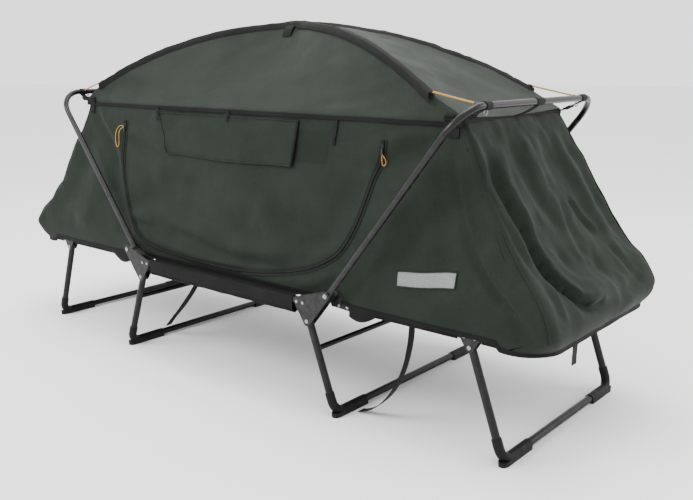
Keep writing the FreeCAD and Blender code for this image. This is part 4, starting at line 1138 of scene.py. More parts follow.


# ---------------------------------------------------------------- zips round the doors
zip_line = resample(door_line, 0.006)
zl = np.array([p for p in zip_line if p[1] < 0.7905])
for side, back in (("front", False), ("back", True)):
    tape = tape_on(zl, 0.021, 0.0012, 0.0004, back)
    coil = piping_on(zl, 0.0026, 0.0022, back)
    lip = []
    for s in (1, -1):
        # stitched edges of the cloth each side of the coil
        d = np.gradient(zl, axis=0)
        d /= np.linalg.norm(d, axis=1)[:, None]
        nrm = np.stack([-d[:, 1], d[:, 0]], 1)
        lip.append(piping_on(zl + nrm * s * 0.0095, 0.0014, 0.0012, back, 6))
    o = piece(side + "_zip_tape", [tape], M["sleeve_fabric"], "centre_frame", "black_webbing")
    c = piece(side + "_zip_coil", [coil], M["zip"], "centre_frame", "black_webbing", side + "_zip")
    l = piece(side + "_zip_seams", lip, M["tent_fabric"], "centre_frame", "tent_fabric")
    soft += [(o, Z0 + 0.003), (c, Z0 + 0.003), (l, Z0 + 0.003)]

# ---------------------------------------------------------------- window flaps
FN_U, FN_V = 46, 14


def flap_parts(back):
    P, uv = [], []
    for i in range(FN_U):
        u = i / (FN_U - 1)
        for j in range(FN_V):
            v = j / (FN_V - 1)
            x = (FLAP[0][0] * (1 - u) + FLAP[3][0] * u) * v + (FLAP[1][0] * (1 - u) + FLAP[2][0] * u) * (1 - v)
            z = FLAP[1][1] * (1 - v) + FLAP[0][1] * v
            # the flap hangs from its top edge and lifts a little along its free right side and lower corners
            puff = 0.0032 + 0.0030 * math.sin(math.pi * u) * math.sin(math.pi * v) + 0.0050 * u ** 6 * (1 - v) + 0.0016 * (1 - v)
            puff += 0.0022 * noise.noise(Vector((x * 9, z * 13, 4.2))) + 0.0010 * noise.noise(Vector((x * 26, z * 22, 1.0)))
            dent = 0.0045 * math.exp(-((x + 0.335) ** 2 / 0.0018 + (z - 0.79) ** 2 / 0.0010))
            z2 = z - 0.0035 * math.sin(math.pi * u) * (1 - v) + 0.0015 * math.sin(u * 9.0) * (1 - v)
            p, n = wall_at(x, z2, max(0.0022, puff - dent), back)
            P.append(p)
            uv.append((x, z))
    F = grid_faces(FN_U, FN_V)
    P = np.array(P)
    Nn = vertex_normals(P, F)
    if (Nn[:, 1] * (1 if back else -1)).sum() < 0:
        F = [f[::-1] for f in F]
        Nn = -Nn
    return P, F, Nn, np.array(uv)


for side, back in (("front", False), ("back", True)):
    P, F, Nn, uv = flap_parts(back)
    o = shell(side + "_flap_cloth", P, F, Nn, 0.0012, TF, "flap_" + side, uv)
    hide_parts(side + "_window_flap")
    cloth[side + "_flap"] = o
    G = P.reshape(FN_U, FN_V, 3)
    s = 1 if back else -1
    out = np.array((0, s * 0.0012, 0))
    top = resample(G[:, -1] + out, 0.008)
    pipe = tube(top, 0.0024, 8)
    rightedge = resample(G[-1, ::-1] + out * 0.6, 0.007)
    # painted shadow: a black strip along the flap's free right edge stands for the dark shadow gap under that lifted
    # edge
    shadow_strip_r = ribbon(rightedge, (1, 0, 0), 0.0075, 0.0036, 0, 5)
    leftedge = resample(G[0, ::-1] + out * 0.6, 0.007)
    bind_l = ribbon(leftedge, (1, 0, 0), 0.0045, 0.0026, 0, 5)
    low = resample(G[:, 0] + out * 0.4, 0.008)
    bind_b = ribbon(low, (0, 0, 1), 0.0050, 0.0022, 0, 5)
    # painted shadow: the right edge's black strip, made in the binding cloth
    b = piece(side + "_flap_shadow_strip", [shadow_strip_r], M["binding"], "flap_" + side, "black_webbing")
    e = piece(side + "_flap_edges", [pipe, bind_l, bind_b], TF, "flap_" + side, "tent_fabric")
    soft += [(b, 0.80), (e, 0.80)]
    # toggle tapes that hang from the roof hem
    tapes = []
    for x, z0, z1, lean in ((-0.392, 0.838, 0.792, 0.006), (-0.039, 0.838, 0.806, -0.002), (0.402, 0.838, 0.762, -0.008)):
        pts = [(x + lean * t, z0 + (z1 - z0) * t) for t in np.linspace(0, 1, 9)]
        if x < 0.3:
            path = []
            for a, z in pts:
                p, n = wall_at(a, z, 0.0105, back)
                path.append(p)
            tapes.append(ribbon(path, (1, 0, 0), 0.0085, 0.0016, 0, 3))
        else:
            tapes.append(tape_on(pts, 0.011, 0.0018, 0.0022, back))
    t = piece(side + "_toggle_tapes", tapes, M["black_webbing"], "door_" + side, "black_webbing")
    soft.append((t, 0.80))

# ---------------------------------------------------------------- bindings: roof hem, bottom hem, end wall top, corner seams
hem = []
for s in (-1, 1):
    for body, lo, hi in (("canopy", -HX, HX), ("right_end", HX, 0.813), ("left_end", -0.813, -HX)):
        xs = np.linspace(lo, hi, max(8, int((hi - lo) / 0.02)))
        path = np.array([on_fly((x, s * 0.267, 0.8385), 0.0010)[0] for x in xs])
        path[:, 2] = 0.8385 + 0.0012 * np.array([noise.noise(Vector((x * 8, s * 2.0, 0.3))) for x in xs])
        path[:, 1] = s * (0.2668)
        o = piece("roof_hem_%s_%s" % ("front" if s < 0 else "back", body), [ribbon(path, (0, 0, 1), 0.011, 0.0028, 0, 5)], M["binding"], body, "black_webbing")
        soft.append((o, 0.80 if body == "canopy" else Z0 + 0.006))


def hem_path(sx, low=0.0):
    """The bottom edge of one hood, from its front hinge round the end to its back hinge."""
    pts = []
    xs = [x for x in np.linspace(HX + 0.022, 0.985, 56)]
    for x in xs:
        pts.append(front_point(sx * x, hem_z(x)))
    X, W, r = profile(0.310, np.float64(sx))
    X, W, r = float(X), float(W), float(r)
    for a in np.linspace(0, math.pi / 2, 14):
        pts.append((sx * (X - r + r * math.sin(a)), -(W - r) - r * math.cos(a), 0.310))
    half = [np.array(p) for p in pts]
    for y in np.linspace(-(W - r), W - r, 40)[1:-1]:
        half.append(np.array((sx * X, y, 0.310)))
    back = [np.array((p[0], -p[1], p[2])) for p in pts[::-1]]
    P = np.array(half + back)
    out = []
    for p in P:
        hit, nor, _, _ = BODY.find_nearest(Vector(p + np.array((0, 0, 0.0015))))
        q = np.array(hit)
        q[2] = p[2]
        out.append(q)
    return resample(np.array(out), 0.011)


for side, sx in (("right", 1), ("left", -1)):
    path = hem_path(sx)
    nse = np.array([noise.noise(Vector((p[0] * 11, p[1] * 11, 2.0))) for p in path])
    path = path + np.stack([nse * 0, nse * 0, 0.0016 * nse - 0.0012], 1)
    o = piece(side + "_bottom_binding", [ribbon(path, (0, 0, 1), 0.0125, 0.0042, 0, 7)], M["binding"], side + "_end", "black_webbing")
    soft.append((o, Z0 + 0.003))
for side, s in (("front", -1), ("back", 1)):
    path = np.array([front_point(x, Z0) * np.array((1, -s, 1)) + np.array((0, 0, 0.002)) for x in np.linspace(-HX, HX, 80)])
    o = piece(side + "_sill_binding", [ribbon(path, (0, 0, 1), 0.009, 0.0036, 0, 5)], M["binding"], "centre_frame", "black_webbing")
    soft.append((o, Z0 + 0.003))

# top edge of the end walls, where the roof, the wall and a black tape are sewn together
for side, sx in (("right", 1), ("left", -1)):
    ys = np.linspace(-0.2655, 0.2655, 60)
    path = np.array([(sx * (0.8155 + 0.0008 * noise.noise(Vector((y * 20, sx, 0)))), y, 0.8475 - 0.004 * (1 - (y / 0.2655) ** 2)) for y in ys])
    o = piece(side + "_end_wall_tape", [ribbon(path, (0, 0, 1), 0.013, 0.0030, 0, 5)], M["binding"], side + "_end", "black_webbing")
    soft.append((o, Z0 + 0.006))
    patches = []
    for sy in (-1, 1):
        back = sy > 0
        lx = sx * (-1 if back else 1)
        pts = [(lx * 0.786, 0.8465), (lx * 0.787, 0.834), (lx * 0.788, 0.820), (lx * 0.790, 0.806)]
        patches.append(tape_on(resample(pts, 0.006), 0.030, 0.0022, 0.0006, back))
        # bar-tacked edge of the reinforcement
        pts = [(lx * 0.772, 0.8075), (lx * 0.803, 0.8065)]
        patches.append(tape_on(resample(pts, 0.006), 0.004, 0.0030, 0.0010, back))
    o = piece(side + "_corner_patches", patches, M["black_webbing"], side + "_end", "black_webbing")
    soft.append((o, Z0 + 0.006))
    # seams down the four corners of the tent
    seams = []
    for sy in (-1, 1):
        pts = []
        for z in np.linspace(0.842, 0.345, 90):
            X, W, r = (float(v) for v in profile(z, np.float64(sx)))
            a = math.radians(48)
            p = np.array((sx * (X - r + r * math.sin(a)), sy * ((W - r) + r * math.cos(a)), z))
            hit, nor, _, _ = BODY.find_nearest(Vector(p))
            n = np.array(nor)
            if n @ np.array((sx, sy, 0)) < 0:
                n = -n
            pts.append(np.array(hit) + n * 0.0012)
        pts = np.array(pts)
        tang = np.gradient(pts, axis=0)
        acr = np.cross(np.array((sx * 0.7, sy * 0.7, 0.2)), tang)
        seams.append(ribbon(pts, acr, 0.0085, 0.0022, 0.0004, 5))
    o = piece(side + "_corner_seams", seams, TF, side + "_end", "tent_fabric")
    soft.append((o, Z0 + 0.003))

# webbing tabs under the crossing of the poles
tab = []
for s in (-1, 1):
    pts = []
    for a in np.linspace(0.006, 0.048, 8):
        q = section_point(0.0, -a if s < 0 else 0.028 + a)
        p, n = on_fly(q, 0.0022 + 0.0045 * math.sin(math.pi * min(1, (a - 0.006) / 0.042)))
        pts.append(p)
    tab.append(ribbon(np.array(pts), (1, 0, 0), 0.036, 0.0022, 0.0006, 5))
o = piece("crossing_tabs", tab, M["black_webbing"], "canopy", "black_webbing")
soft.append((o, 0.80))

# blank patch, right of the front door
P4 = [(0.664, 0.4115), (0.848, 0.4375), (0.846, 0.4775), (0.662, 0.4515)]
PP, PU = [], []
for i in range(24):
    for j in range(8):
        u, v = i / 23, j / 7
        x = (P4[0][0] * (1 - u) + P4[1][0] * u) * (1 - v) + (P4[3][0] * (1 - u) + P4[2][0] * u) * v
        z = (P4[0][1] * (1 - u) + P4[1][1] * u) * (1 - v) + (P4[3][1] * (1 - u) + P4[2][1] * u) * v
        p, n = wall_at(x, z, 0.0016 - 0.0008 * (i in (0, 23) or j in (0, 7)))
        PP.append(p)
        PU.append((x, z))
PP = np.array(PP)
PF = grid_faces(24, 8)
PN = vertex_normals(PP, PF)
if PN[:, 1].sum() > 0:
    PF = [f[::-1] for f in PF]
    PN = -PN
patch_o = shell("blank_patch", PP, PF, PN, 0.0009, M["patch"], "right_end", np.array(PU))
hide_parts("plain_patch")
cloth["patch"] = patch_o
rim = [tape_on(resample([P4[a], P4[b]], 0.006), 0.0035, 0.0012, 0.0016) for a, b in ((0, 1), (1, 2), (2, 3), (3, 0))]
o = piece("blank_patch_stitching", rim, TF, "right_end", "tent_fabric")
soft.append((o, Z0 + 0.004))


# ================================================================ bed slings
def sling_mesh(name, P, F, uv, thick, body, nodes_hidden, want=1):
    P = np.array(P)
    Nn = vertex_normals(P, F)
    if Nn[:, 2].sum() * want < 0:
        F = [f[::-1] for f in F]
        Nn = -Nn
    o = shell(name, P, F, Nn, thick, M["bed_fabric"], body, uv)
    for n in nodes_hidden:
        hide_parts(n)
    return o


prof = [(-0.3573, 0.3300), (-0.3574, 0.316), (-0.3578, 0.300), (-0.3600, 0.2880), (-0.3650, 0.2838), (-0.3722, 0.2836), (-0.3785, 0.2858), (-0.3815, 0.2920), (-0.3826, 0.3000),
        (-0.3830, 0.3100), (-0.3831, 0.3200), (-0.3822, 0.3285), (-0.3785, 0.3335), (-0.3720, 0.3352), (-0.3640, 0.3350), (-0.3560, 0.3344)]
deck = [(y, 0.3340 - 0.0015 * math.cos(y / 0.354 * math.pi / 2)) for y in np.linspace(-0.345, 0.345, 60)]
full = prof + deck + [(-y, z) for y, z in prof[::-1]]
sx_ = np.linspace(-0.330, 0.330, 74)
P, U = [], []
arc = np.r_[0, np.cumsum([math.hypot(b[0] - a[0], b[1] - a[1]) for a, b in zip(full[:-1], full[1:])])]
for x in sx_:
    for k, (y, z) in enumerate(full):
        on_sleeve = 3 <= k < 12 or 3 <= len(full) - 1 - k < 12
        w = 0.0011 * noise.noise(Vector((x * 26, y * 3, z * 60))) + 0.0014 * noise.noise(Vector((x * 9, y * 2, z * 20 + 4)))
        dy = (abs(w) if on_sleeve else 0) * -np.sign(y)
        dz = w * 0.9 if on_sleeve and z < 0.31 else (0.5 * w if k > 15 and len(full) - k > 15 else 0)
        P.append((x, y + dy, min(z + dz, 0.3356)))
        U.append((x, arc[k]))
F = grid_faces(len(sx_), len(full))
centre_cloth = sling_mesh("centre_bed_cloth", P, F, np.array(U), 0.0012, "centre_frame", ["centre_sling"])
ends_ = []
for s in (-1, 1):
    xs = np.linspace(0.3302, 0.424, 12) * s
    ys = np.linspace(-0.353, 0.353, 62)
    P = [(x, y, 0.3340 - 0.0015 * math.cos(y / 0.354 * math.pi / 2) + 0.0005 * noise.noise(Vector((x * 20, y * 14, 1)))) for x in xs for y in ys]
    F = grid_faces(len(xs), len(ys))
    ends_.append(sling_mesh("centre_bed_edge_%s" % ("left" if s < 0 else "right"), P, F, np.array([(p[0], p[1]) for p in P]), 0.0012, "centre_frame", []))
# stitching along the sleeves
st = []
for s in (-1, 1):
    for yy in (0.3505, 0.3465):
        st.append(ribbon(np.array([(x, s * yy, 0.3352) for x in np.linspace(-0.328, 0.328, 60)]), (0, 1, 0), 0.0016, 0.0008, 0, 3))
    st.append(ribbon(np.array([(x, s * 0.3836, 0.2915 + 0.0006 * math.sin(x * 60)) for x in np.linspace(-0.328, 0.328, 60)]), (0, 0, 1), 0.0018, 0.0010, 0, 3))
bed_stitch = piece("centre_bed_stitching", st, M["binding"], "centre_frame", "black_webbing")

EC, EY, ER = 0.972, 0.2242, 0.1112
for side, sx in (("right", 1), ("left", -1)):
    arc_pts = [(EC + ER * math.sin(a), -EY - ER * math.cos(a)) for a in np.linspace(0, math.pi / 2, 14)]
    outline = [(0.436, -0.299), (0.512, -0.299), (0.522, -0.3354)] + arc_pts + [(x, -y) for x, y in arc_pts[::-1]] + [(0.522, 0.3354), (0.512, 0.299), (0.436, 0.299)]
    loop = resample(np.array(outline + [outline[0]]), 0.014)[:-1]
    n = len(loop)
    gx, gy = np.meshgrid(np.arange(0.444, 1.08, 0.018), np.arange(-0.33, 0.331, 0.018))
    G = np.stack([gx.ravel(), gy.ravel()], 1)
    G = G[inside(outline, G)]
    dmin = np.array([np.min(np.linalg.norm(loop - g, axis=1)) for g in G])
    G = G[dmin > 0.009]
    vo, _, fo, _, _, _ = delaunay_2d_cdt([Vector(p) for p in loop] + [Vector(p) for p in G], [(i, (i + 1) % n) for i in range(n)], [], 1, 1e-6)
    V = np.array([(v.x, v.y) for v in vo])
    edge = np.minimum(1, np.abs(0.3354 - np.abs(V[:, 1])) / 0.12) * np.minimum(1, np.abs(1.083 - V[:, 0]) / 0.12)
    Z = 0.3349 - 0.0020 * edge + 0.0004 * np.array([noise.noise(Vector((x * 16, y * 16, 3))) for x, y in V])
    P = np.stack([sx * V[:, 0], V[:, 1], Z], 1)
    U = V
    o = sling_mesh(side + "_bed_cloth", P, [tuple(f) for f in fo], U, 0.0014, side + "_end", [side + "_sling"])
    skirts = []
    for sy in (-1, 1):
        for x0, x1 in ((0.521, 0.860), (0.930, EC)):
            xs = np.linspace(x0, x1, max(6, int((x1 - x0) / 0.012)))
            path = np.array([(sx * x, sy * (0.3360 + 0.0004 * noise.noise(Vector((x * 30, sy, 0)))), 0.3232) for x in xs])
            skirts.append(ribbon(path, (0, 0, 1), 0.0238, 0.0013, 0, 5))
        a = np.linspace(0, math.pi / 2, 22)
        path = np.array([(sx * (EC + (ER + 0.0006) * math.sin(t)), sy * (EY + (ER + 0.0006) * math.cos(t)), 0.3232) for t in a])
        skirts.append(ribbon(path, (0, 0, 1), 0.0238, 0.0013, 0, 5))
    path = np.array([(sx * (EC + ER + 0.0006), y, 0.3232) for y in np.linspace(-EY, EY, 36)])
    skirts.append(ribbon(path, (0, 0, 1), 0.0238, 0.0013, 0, 5))
    # black gussets beside the hinges
    for sy in (-1, 1):
        xs = np.linspace(0.507, 0.622, 16)
        P, U = [], []
        for i, x in enumerate(xs):
            t = i / 15
            low = 0.327 - 0.034 * math.sin(math.pi * min(1, 0.28 + t * 0.72)) ** 1.3 - 0.004
            for j in range(7):
                v = j / 6
                z = 0.333 * (1 - v) + low * v
                y = 0.3385 + 0.007 * math.sin(math.pi * v) * math.sin(math.pi * t) + 0.001 * noise.noise(Vector((x * 30, z * 40, sy)))
                P.append((sx * x, sy * y, z))
                U.append((x, z))
        Fg = grid_faces(16, 7)
        P = np.array(P)
        Q = P.copy()
        Q[:, 1] -= sy * 0.0016
        nn = len(P)
        bound = {}
        for f in Fg:
            for k in range(4):
                a_, b_ = f[k], f[(k + 1) % 4]
                bound[(a_, b_)] = 1
        rims = [(b_, a_, a_ + nn, b_ + nn) for a_, b_ in bound if (b_, a_) not in bound]
        skirts.append((np.vstack([P, Q]), list(Fg) + [tuple(i + nn for i in f[::-1]) for f in Fg] + rims, np.vstack([U, U])))
    sk = piece(side + "_bed_skirt", skirts, M["bed_fabric"], side + "_end", "bed_fabric")
    cloth[side + "_bed"] = o
    cloth[side + "_skirt"] = sk
# a short webbing tail sewn to the right end's hem
tp = spline([(1.0925, -0.153, 0.306), (1.0925, -0.153, 0.288), (1.0915, -0.153, 0.266), (1.0918, -0.153, 0.246)])
o = piece("end_hem_tail", [ribbon(tp, (0, 1, 0), 0.0255, 0.0018, 0, 5)], M["black_webbing"], "right_end", "black_webbing", "end_hem_tab")

# ================================================================ cords and straps
BOWN = {"right": ((0.7833, 0, -0.6217), (0.8791, 0, 0.8881), 0.274), "left": ((-0.7833, 0, -0.6217), (-0.87165, 0, 0.87872), 0.2518)}
hooks = {"right": [], "left": []}
for side, sx in (("right", 1), ("left", -1)):
    n, c, yy = BOWN[side]
    for sy, where in ((-1, "front"), (1, "back")):
        p = np.array((sx * 0.698, sy * 0.269, 0.922))
        q = np.array((c[0], sy * yy, c[2]))
        d = (q - p) / np.linalg.norm(q - p)
        a, b = p + d * 0.008, q - d * 0.0135
        route = [tuple(a), tuple(a + d * 0.030), tuple(b - d * 0.030), tuple(b)]
        path = resample(spline(route), 0.006)
        o = piece("%s_%s_elastic" % (side, where), [tube(path, 0.0025, 12)], M["yellow_elastic"], side + "_bow", "yellow_elastic", "%s_%s_tension_cord" % (side, where))
        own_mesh(o)
        # ferrule at the bow, knot at the roof corner
        k = tube(resample([a - d * 0.002, a + d * 0.013], 0.003), [0.0036, 0.0045, 0.0046, 0.0042, 0.0034, 0.0030][:len(resample([a - d * 0.002, a + d * 0.013], 0.003))], 12)
        f2 = tube(resample([b - d * 0.018, b + d * 0.002], 0.004), 0.0036, 12)
        h = piece("%s_%s_elastic_ends" % (side, where), [k, f2], M["slider_metal"], side + "_bow", "slider_metal")
        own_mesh(h)
        # webbing hook strap from the tent's top corner to the bow
        s0 = np.array((sx * 0.802, sy * 0.259, 0.8465))
        s3 = q + np.array((-sx * 0.006, 0, -0.0105))
        s1 = s0 + np.array((sx * 0.020, sy * 0.001, 0.004))
        s2 = s3 + np.array((-sx * 0.020, 0, -0.010))
        path = resample(spline([tuple(s0), tuple(s1), tuple(s2), tuple(s3)]), 0.005)
        hooks[side].append(ribbon(path, (0, 1, 0), 0.019, 0.0022, 0.0003, 5))
        # a moulded buckle on the strap: two rounded bars
        mid = path[len(path) // 2]
        t = path[len(path) // 2 + 1] - mid
        t /= np.linalg.norm(t)
        for e in (-0.008, 0.008):
            m0 = mid + t * e
            hooks[side].append(tube(resample([m0 + np.array((0, -0.0145, 0)), m0 + np.array((0, 0.0145, 0))], 0.004), 0.0033, 10))
        for e in (-0.0135, 0.0135):
            hooks[side].append(tube(resample([mid + np.array((0, e, 0)) - t * 0.010, mid + np.array((0, e, 0)) + t * 0.010], 0.004), 0.0030, 10))
    # tab from the middle of the crossbar to the end wall's top edge
    s0 = np.array((c[0] - sx * 0.004, 0, c[2] - 0.0108))
    s3 = np.array((sx * 0.818, 0, 0.850))
    path = resample(spline([tuple(s0), tuple(s0 * 0.6 + s3 * 0.4 + np.array((0, 0, -0.004))), tuple(s0 * 0.2 + s3 * 0.8 + np.array((0, 0, -0.003))), tuple(s3)]), 0.005)
    hooks[side].append(ribbon(path, (0, 1, 0), 0.024, 0.0022, 0.0003, 5))
    o = piece(side + "_hook_straps", hooks[side], M["black_webbing"], side + "_bow", "black_webbing")
    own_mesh(o)
# plastic clips on the roof hem beside the bows, and steel rings on the bow collars
clips = {"right": [], "left": []}
for side, sx in (("right", 1), ("left", -1)):
    for sy in (-1, 1):
        base = np.array((sx * 0.775, sy * 0.2685, 0.8505))
        for dz, rr in ((-0.008, 0.0034), (0.000, 0.0042), (0.008, 0.0034)):
            clips[side].append(tube(resample([base + np.array((-0.0145, 0, dz)), base + np.array((0.0145, 0, dz))], 0.004), rr, 10))
        clips[side].append(ribbon(resample([base + np.array((sx * 0.012, 0, 0)), np.array((sx * 0.806, sy * 0.263, 0.850))], 0.005), (0, 0, 1), 0.014, 0.0018, 0, 3))
    o = piece(side + "_roof_clips", clips[side], M["black_webbing"], side + "_end", "black_webbing")
    soft.append((o, Z0 + 0.006))
rings = {}
for side, sx in (("right", 1), ("left", -1)):
    n, c, yy = BOWN[side]
    parts = []
    for sy in (-1, 1):
        ctr = np.array((c[0] - sx * 0.010, sy * (yy - 0.020), c[2] - 0.017))
        pts = [ctr + 0.0075 * np.array((math.cos(a) * 0.6 * sx, 0.2 * math.sin(a), math.sin(a))) for a in np.linspace(0, 2 * math.pi * 0.98, 22)]
        parts.append(tube(np.array(pts), 0.0015, 8))
    o = piece(side + "_collar_rings", parts, M["fastener_steel"], side + "_bow", "fastener_steel")

STRAP_A = [(-0.238, -0.215, 0.330), (-0.256, -0.215, 0.285), (-0.292, -0.215, 0.226), (-0.338, -0.215, 0.170), (-0.388, -0.215, 0.116), (-0.436, -0.215, 0.070), (-0.466, -0.215, 0.038)]
STRAP_B = [(0.690, -0.292, 0.331), (0.690, -0.292, 0.288), (0.684, -0.292, 0.238), (0.672, -0.292, 0.184), (0.652, -0.292, 0.132), (0.624, -0.292, 0.084), (0.588, -0.292, 0.044), (0.548, -0.292, 0.014), (0.512, -0.292, 0.0035)]
for name, route, node, body, length in (("left_strap_web", STRAP_A, "left_leg_strap", "centre_frame", 0.374), ("right_strap_web", STRAP_B, "right_leg_strap", "right_end", 0.401)):
    path = resample(spline(route), 0.006)
    n = len(path)
    acr = []
    for i in range(n):
        t = i / (n - 1)
        tw = 0.10 * math.sin(t * 5.0) + 0.05 * math.sin(t * 13.0)
        acr.append((math.sin(tw) * 0.7, math.cos(tw), 0))
    o = piece(name, [ribbon(path, np.array(acr), 0.025, 0.0016, 0.0004, 7)], M["black_webbing"], body, "black_webbing", node)
    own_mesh(o)

# ---------------------------------------------------------------- zip sliders with their cord pulls
def slider_parts(x, z, back, lean=0.0):
    p, n = wall_at(x, z, 0.0, back)
    up_, side_ = np.array((0, 0, 1.0)), np.cross(np.array((0, 0, 1.0)), n)
    side_ /= np.linalg.norm(side_)
    up_ = np.cross(n, side_)
    up_ /= np.linalg.norm(up_)
    if up_[2] < 0:
        up_ = -up_
    parts = []
    # body: a waisted plate
    rows = [(-0.006, 0.0034), (-0.003, 0.0044), (0.000, 0.0048), (0.003, 0.0046), (0.006, 0.0036)]
    P, U = [], []
    for v, w in rows:
        for u, h in ((-1, 0.0030), (-0.7, 0.0052), (0, 0.0060), (0.7, 0.0052), (1, 0.0030), (0.9, 0.0010), (-0.9, 0.0010)):
            P.append(p + up_ * v + side_ * u * w + n * (h + 0.0012))
            U.append((u, v))
    F = [(i * 7 + k, i * 7 + (k + 1) % 7, (i + 1) * 7 + (k + 1) % 7, (i + 1) * 7 + k) for i in range(4) for k in range(7)]
    F += [tuple(reversed(range(7))), tuple(range(28, 35))]
    parts.append((np.array(P), F, np.array(U)))
    # bridge and hanging tab
    b0, b1 = p + up_ * 0.0045 + n * 0.0070, p - up_ * 0.0045 + n * 0.0070
    parts.append(tube(resample([b0, (b0 + b1) / 2 + n * 0.0022, b1], 0.002), 0.0012, 8))
    q = p - up_ * 0.004 + n * 0.0085
    parts.append(ribbon(resample([q, q - up_ * 0.020 - side_ * lean * 0.02], 0.004), side_, 0.0052, 0.0014, 0, 3))
    return parts, q - up_ * 0.019 - side_ * lean * 0.02, n, side_


PULLS = []
for side, back in (("front", False), ("back", True)):
    parts = []
    for x, z in ((-0.576, 0.770), (0.571, 0.770)):
        pr_, q, n, sd = slider_parts(x, z, back)
        parts += pr_
        PULLS.append((side, x, z, q, n, back))
    o = piece(side + "_sliders", parts, M["slider_metal"], "centre_frame", "slider_metal", side + "_zip_sliders")
    soft.append((o, Z0 + 0.004))


def cord_loop(name, pts, body):
    path = resample(spline(pts), 0.003)
    o = piece(name, [tube(path, 0.00135, 8)], M["yellow_elastic"], body, "yellow_elastic")
    soft.append((o, Z0 + 0.004))
    return o


def on_wall_pts(pts, back):
    return [tuple(wall_at(x, z, off, back)[0]) for x, z, off in pts]


for side, back in (("front", False), ("back", True)):
    pts = on_wall_pts([(-0.577, 0.764, 0.009), (-0.590, 0.771, 0.011), (-0.611, 0.757, 0.010), (-0.619, 0.733, 0.008), (-0.613, 0.708, 0.007), (-0.606, 0.692, 0.006), (-0.598, 0.694, 0.006),
                       (-0.600, 0.716, 0.008), (-0.603, 0.738, 0.009), (-0.594, 0.757, 0.010), (-0.579, 0.761, 0.009)], back)
    ln = float(np.linalg.norm(np.diff(resample(spline(pts), 0.003), axis=0), axis=1).sum())
    cord_loop(side + "_pull_loop_left", pts, "centre_frame")
    pts = on_wall_pts([(0.571, 0.750, 0.009), (0.577, 0.744, 0.009), (0.583, 0.730, 0.007), (0.580, 0.718, 0.006), (0.572, 0.717, 0.006), (0.568, 0.730, 0.007), (0.570, 0.748, 0.009)], back)
    ln = float(np.linalg.norm(np.diff(resample(spline(pts), 0.003), axis=0), axis=1).sum())
    cord_loop(side + "_pull_loop_right", pts, "centre_frame")

# ---------------------------------------------------------------- roof poles, under the sleeves
yaw = math.atan2(FY, FX)
seam_a, tip_a = math.asin(HX * HALF / FX / RAD), math.asin((HALF - 0.034) / RAD)


def pole_pts(drop, turn, a0, a1, n=40):
    out = []
    for a in np.linspace(a0, a1, n):
        d, z = (RAD - drop) * math.sin(a), APEX - RAD + (RAD - drop) * math.cos(a)
        out.append((d * math.cos(turn), 0.955 * d * math.sin(turn), z))
    return np.array(out)


for name, a0, a1, body, node in (("centre", -seam_a, seam_a, "canopy", "centre_roof_poles"), ("right", seam_a, tip_a, "right_end", "right_roof_poles"), ("left", -tip_a, -seam_a, "left_end", "left_roof_poles")):
    rods = []
    for drop, turn in ((0.0125, yaw), (0.0215, -yaw)):
        pts = pole_pts(drop, turn, a0 + 0.0005, a1 - 0.0005)
        rods.append(tube(pts, 0.0042, 12))
    o = piece(name + "_pole_rods", rods, M["pole_fibreglass"], body, "pole_fibreglass", node)
    z = 0.80 if body == "canopy" else Z0 + 0.004
    soft.append((o, z))

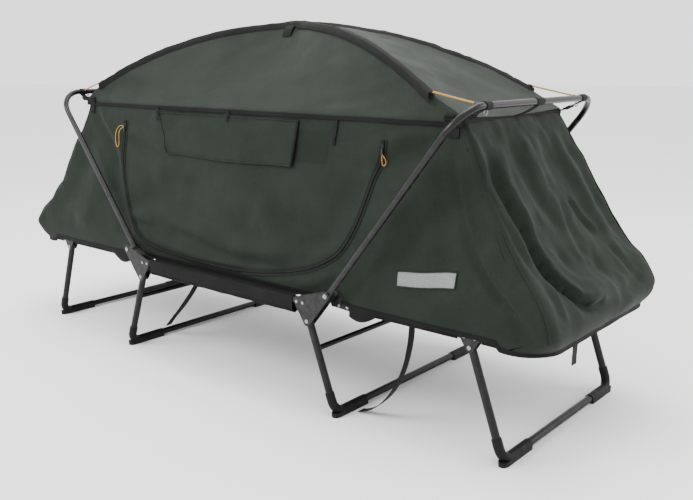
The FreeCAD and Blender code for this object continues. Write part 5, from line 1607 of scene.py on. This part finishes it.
# ================================================================ CAD nodes that stay: their materials
slots = {sp["node"]: sp["material_slot"] for sp in frame["record"]["subparts"]}
web_obj, t_, b_ = new_mat("collar_webbing", (0.004, 0.004, 0.004), 0.7, 0, 0.02, 0.15)
sp_ = t_.nodes.new("ShaderNodeSeparateXYZ")
t_.links.new(coords(t_), sp_.inputs[0])
rib_ = math_node(t_, "ABSOLUTE", math_node(t_, "SINE", math_node(t_, "MULTIPLY", sp_.outputs[1], math.pi / 0.0026)))
t_.links.new(mix(t_, map_range(t_, noise_tex(t_, coords(t_), 45, 3), 0.35, 0.75, 0.0, 0.4), mix(t_, rib_, (0.0015, 0.0015, 0.0015), (0.005, 0.005, 0.005)), (0.008, 0.008, 0.008)), b_.inputs["Base Color"])
bump(t_, b_, rib_, 0.5, 0.0006)
for name, o in nodes.items():
    if o.hide_render:
        continue
    slot = slots.get(name, "black_tube")
    m = M.get(slot, M["black_tube"])
    if slot == "black_webbing":
        m = web_obj
    if name.endswith("_tent_bow"):
        m = M["bow_tube"]
    o.data.materials.clear()
    o.data.materials.append(m)
    o.data.polygons.foreach_set("material_index", [0] * len(o.data.polygons))


def flatten(o):
    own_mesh(o)


for s in ("front", "back"):
    flatten(cloth[s + "_wall"])
    flatten(cloth[s + "_door"])
    flatten(cloth[s + "_mesh"])
    flatten(cloth[s + "_flap"])
for s in ("right", "left"):
    flatten(cloth[s + "_hood"])
    flatten(fly[s + "_roof"])
    for t in "ab":
        flatten(cloth["%s_sleeve_%s" % (s, t)])
flatten(fly["centre_roof"])
for t in "ab":
    flatten(cloth["centre_sleeve_" + t])
flatten(cloth["patch"])
for o, z in soft:
    flatten(o)

# ================================================================ floor and light
floor = make("studio_floor", [(-30, -30, 0), (30, -30, 0), (30, 30, 0), (-30, 30, 0)], [(0, 1, 2, 3)], M["patch"], None)
fm, ft, fb = new_mat("pale_floor", (0.93, 0.93, 0.93), 0.8, 0, 0, 0.2)
ft.links.new(ramp(ft, noise_tex(ft, coords(ft), 1.5, 3), [(0.3, (0.92, 0.92, 0.92)), (0.7, (0.94, 0.94, 0.94))]), fb.inputs["Base Color"])
floor.data.materials.clear()
floor.data.materials.append(fm)
world = bpy.data.worlds.new("studio")
bpy.context.scene.world = world
world.use_nodes = True
bg = world.node_tree.nodes["Background"]
bg.inputs[0].default_value = (1, 1, 1, 1)
bg.inputs[1].default_value = 1.9


def area_light(name, at, target, size, power):
    l = bpy.data.lights.new(name, "AREA")
    l.shape, l.size, l.size_y, l.energy = "RECTANGLE", size[0], size[1], power
    o = bpy.data.objects.new(name, l)
    bpy.context.scene.collection.objects.link(o)
    o.location = at
    o.rotation_euler = (Vector(target) - Vector(at)).to_track_quat("-Z", "Y").to_euler()
    return o


area_light("key", (-1.6, -3.6, 3.4), (0, 0, 0.6), (2.4, 1.8), 170)
area_light("top", (0.2, 0.3, 4.2), (0, 0, 0.6), (3.0, 2.0), 110)
area_light("rim", (3.4, 2.6, 2.2), (0.3, 0, 0.6), (1.6, 1.6), 40)
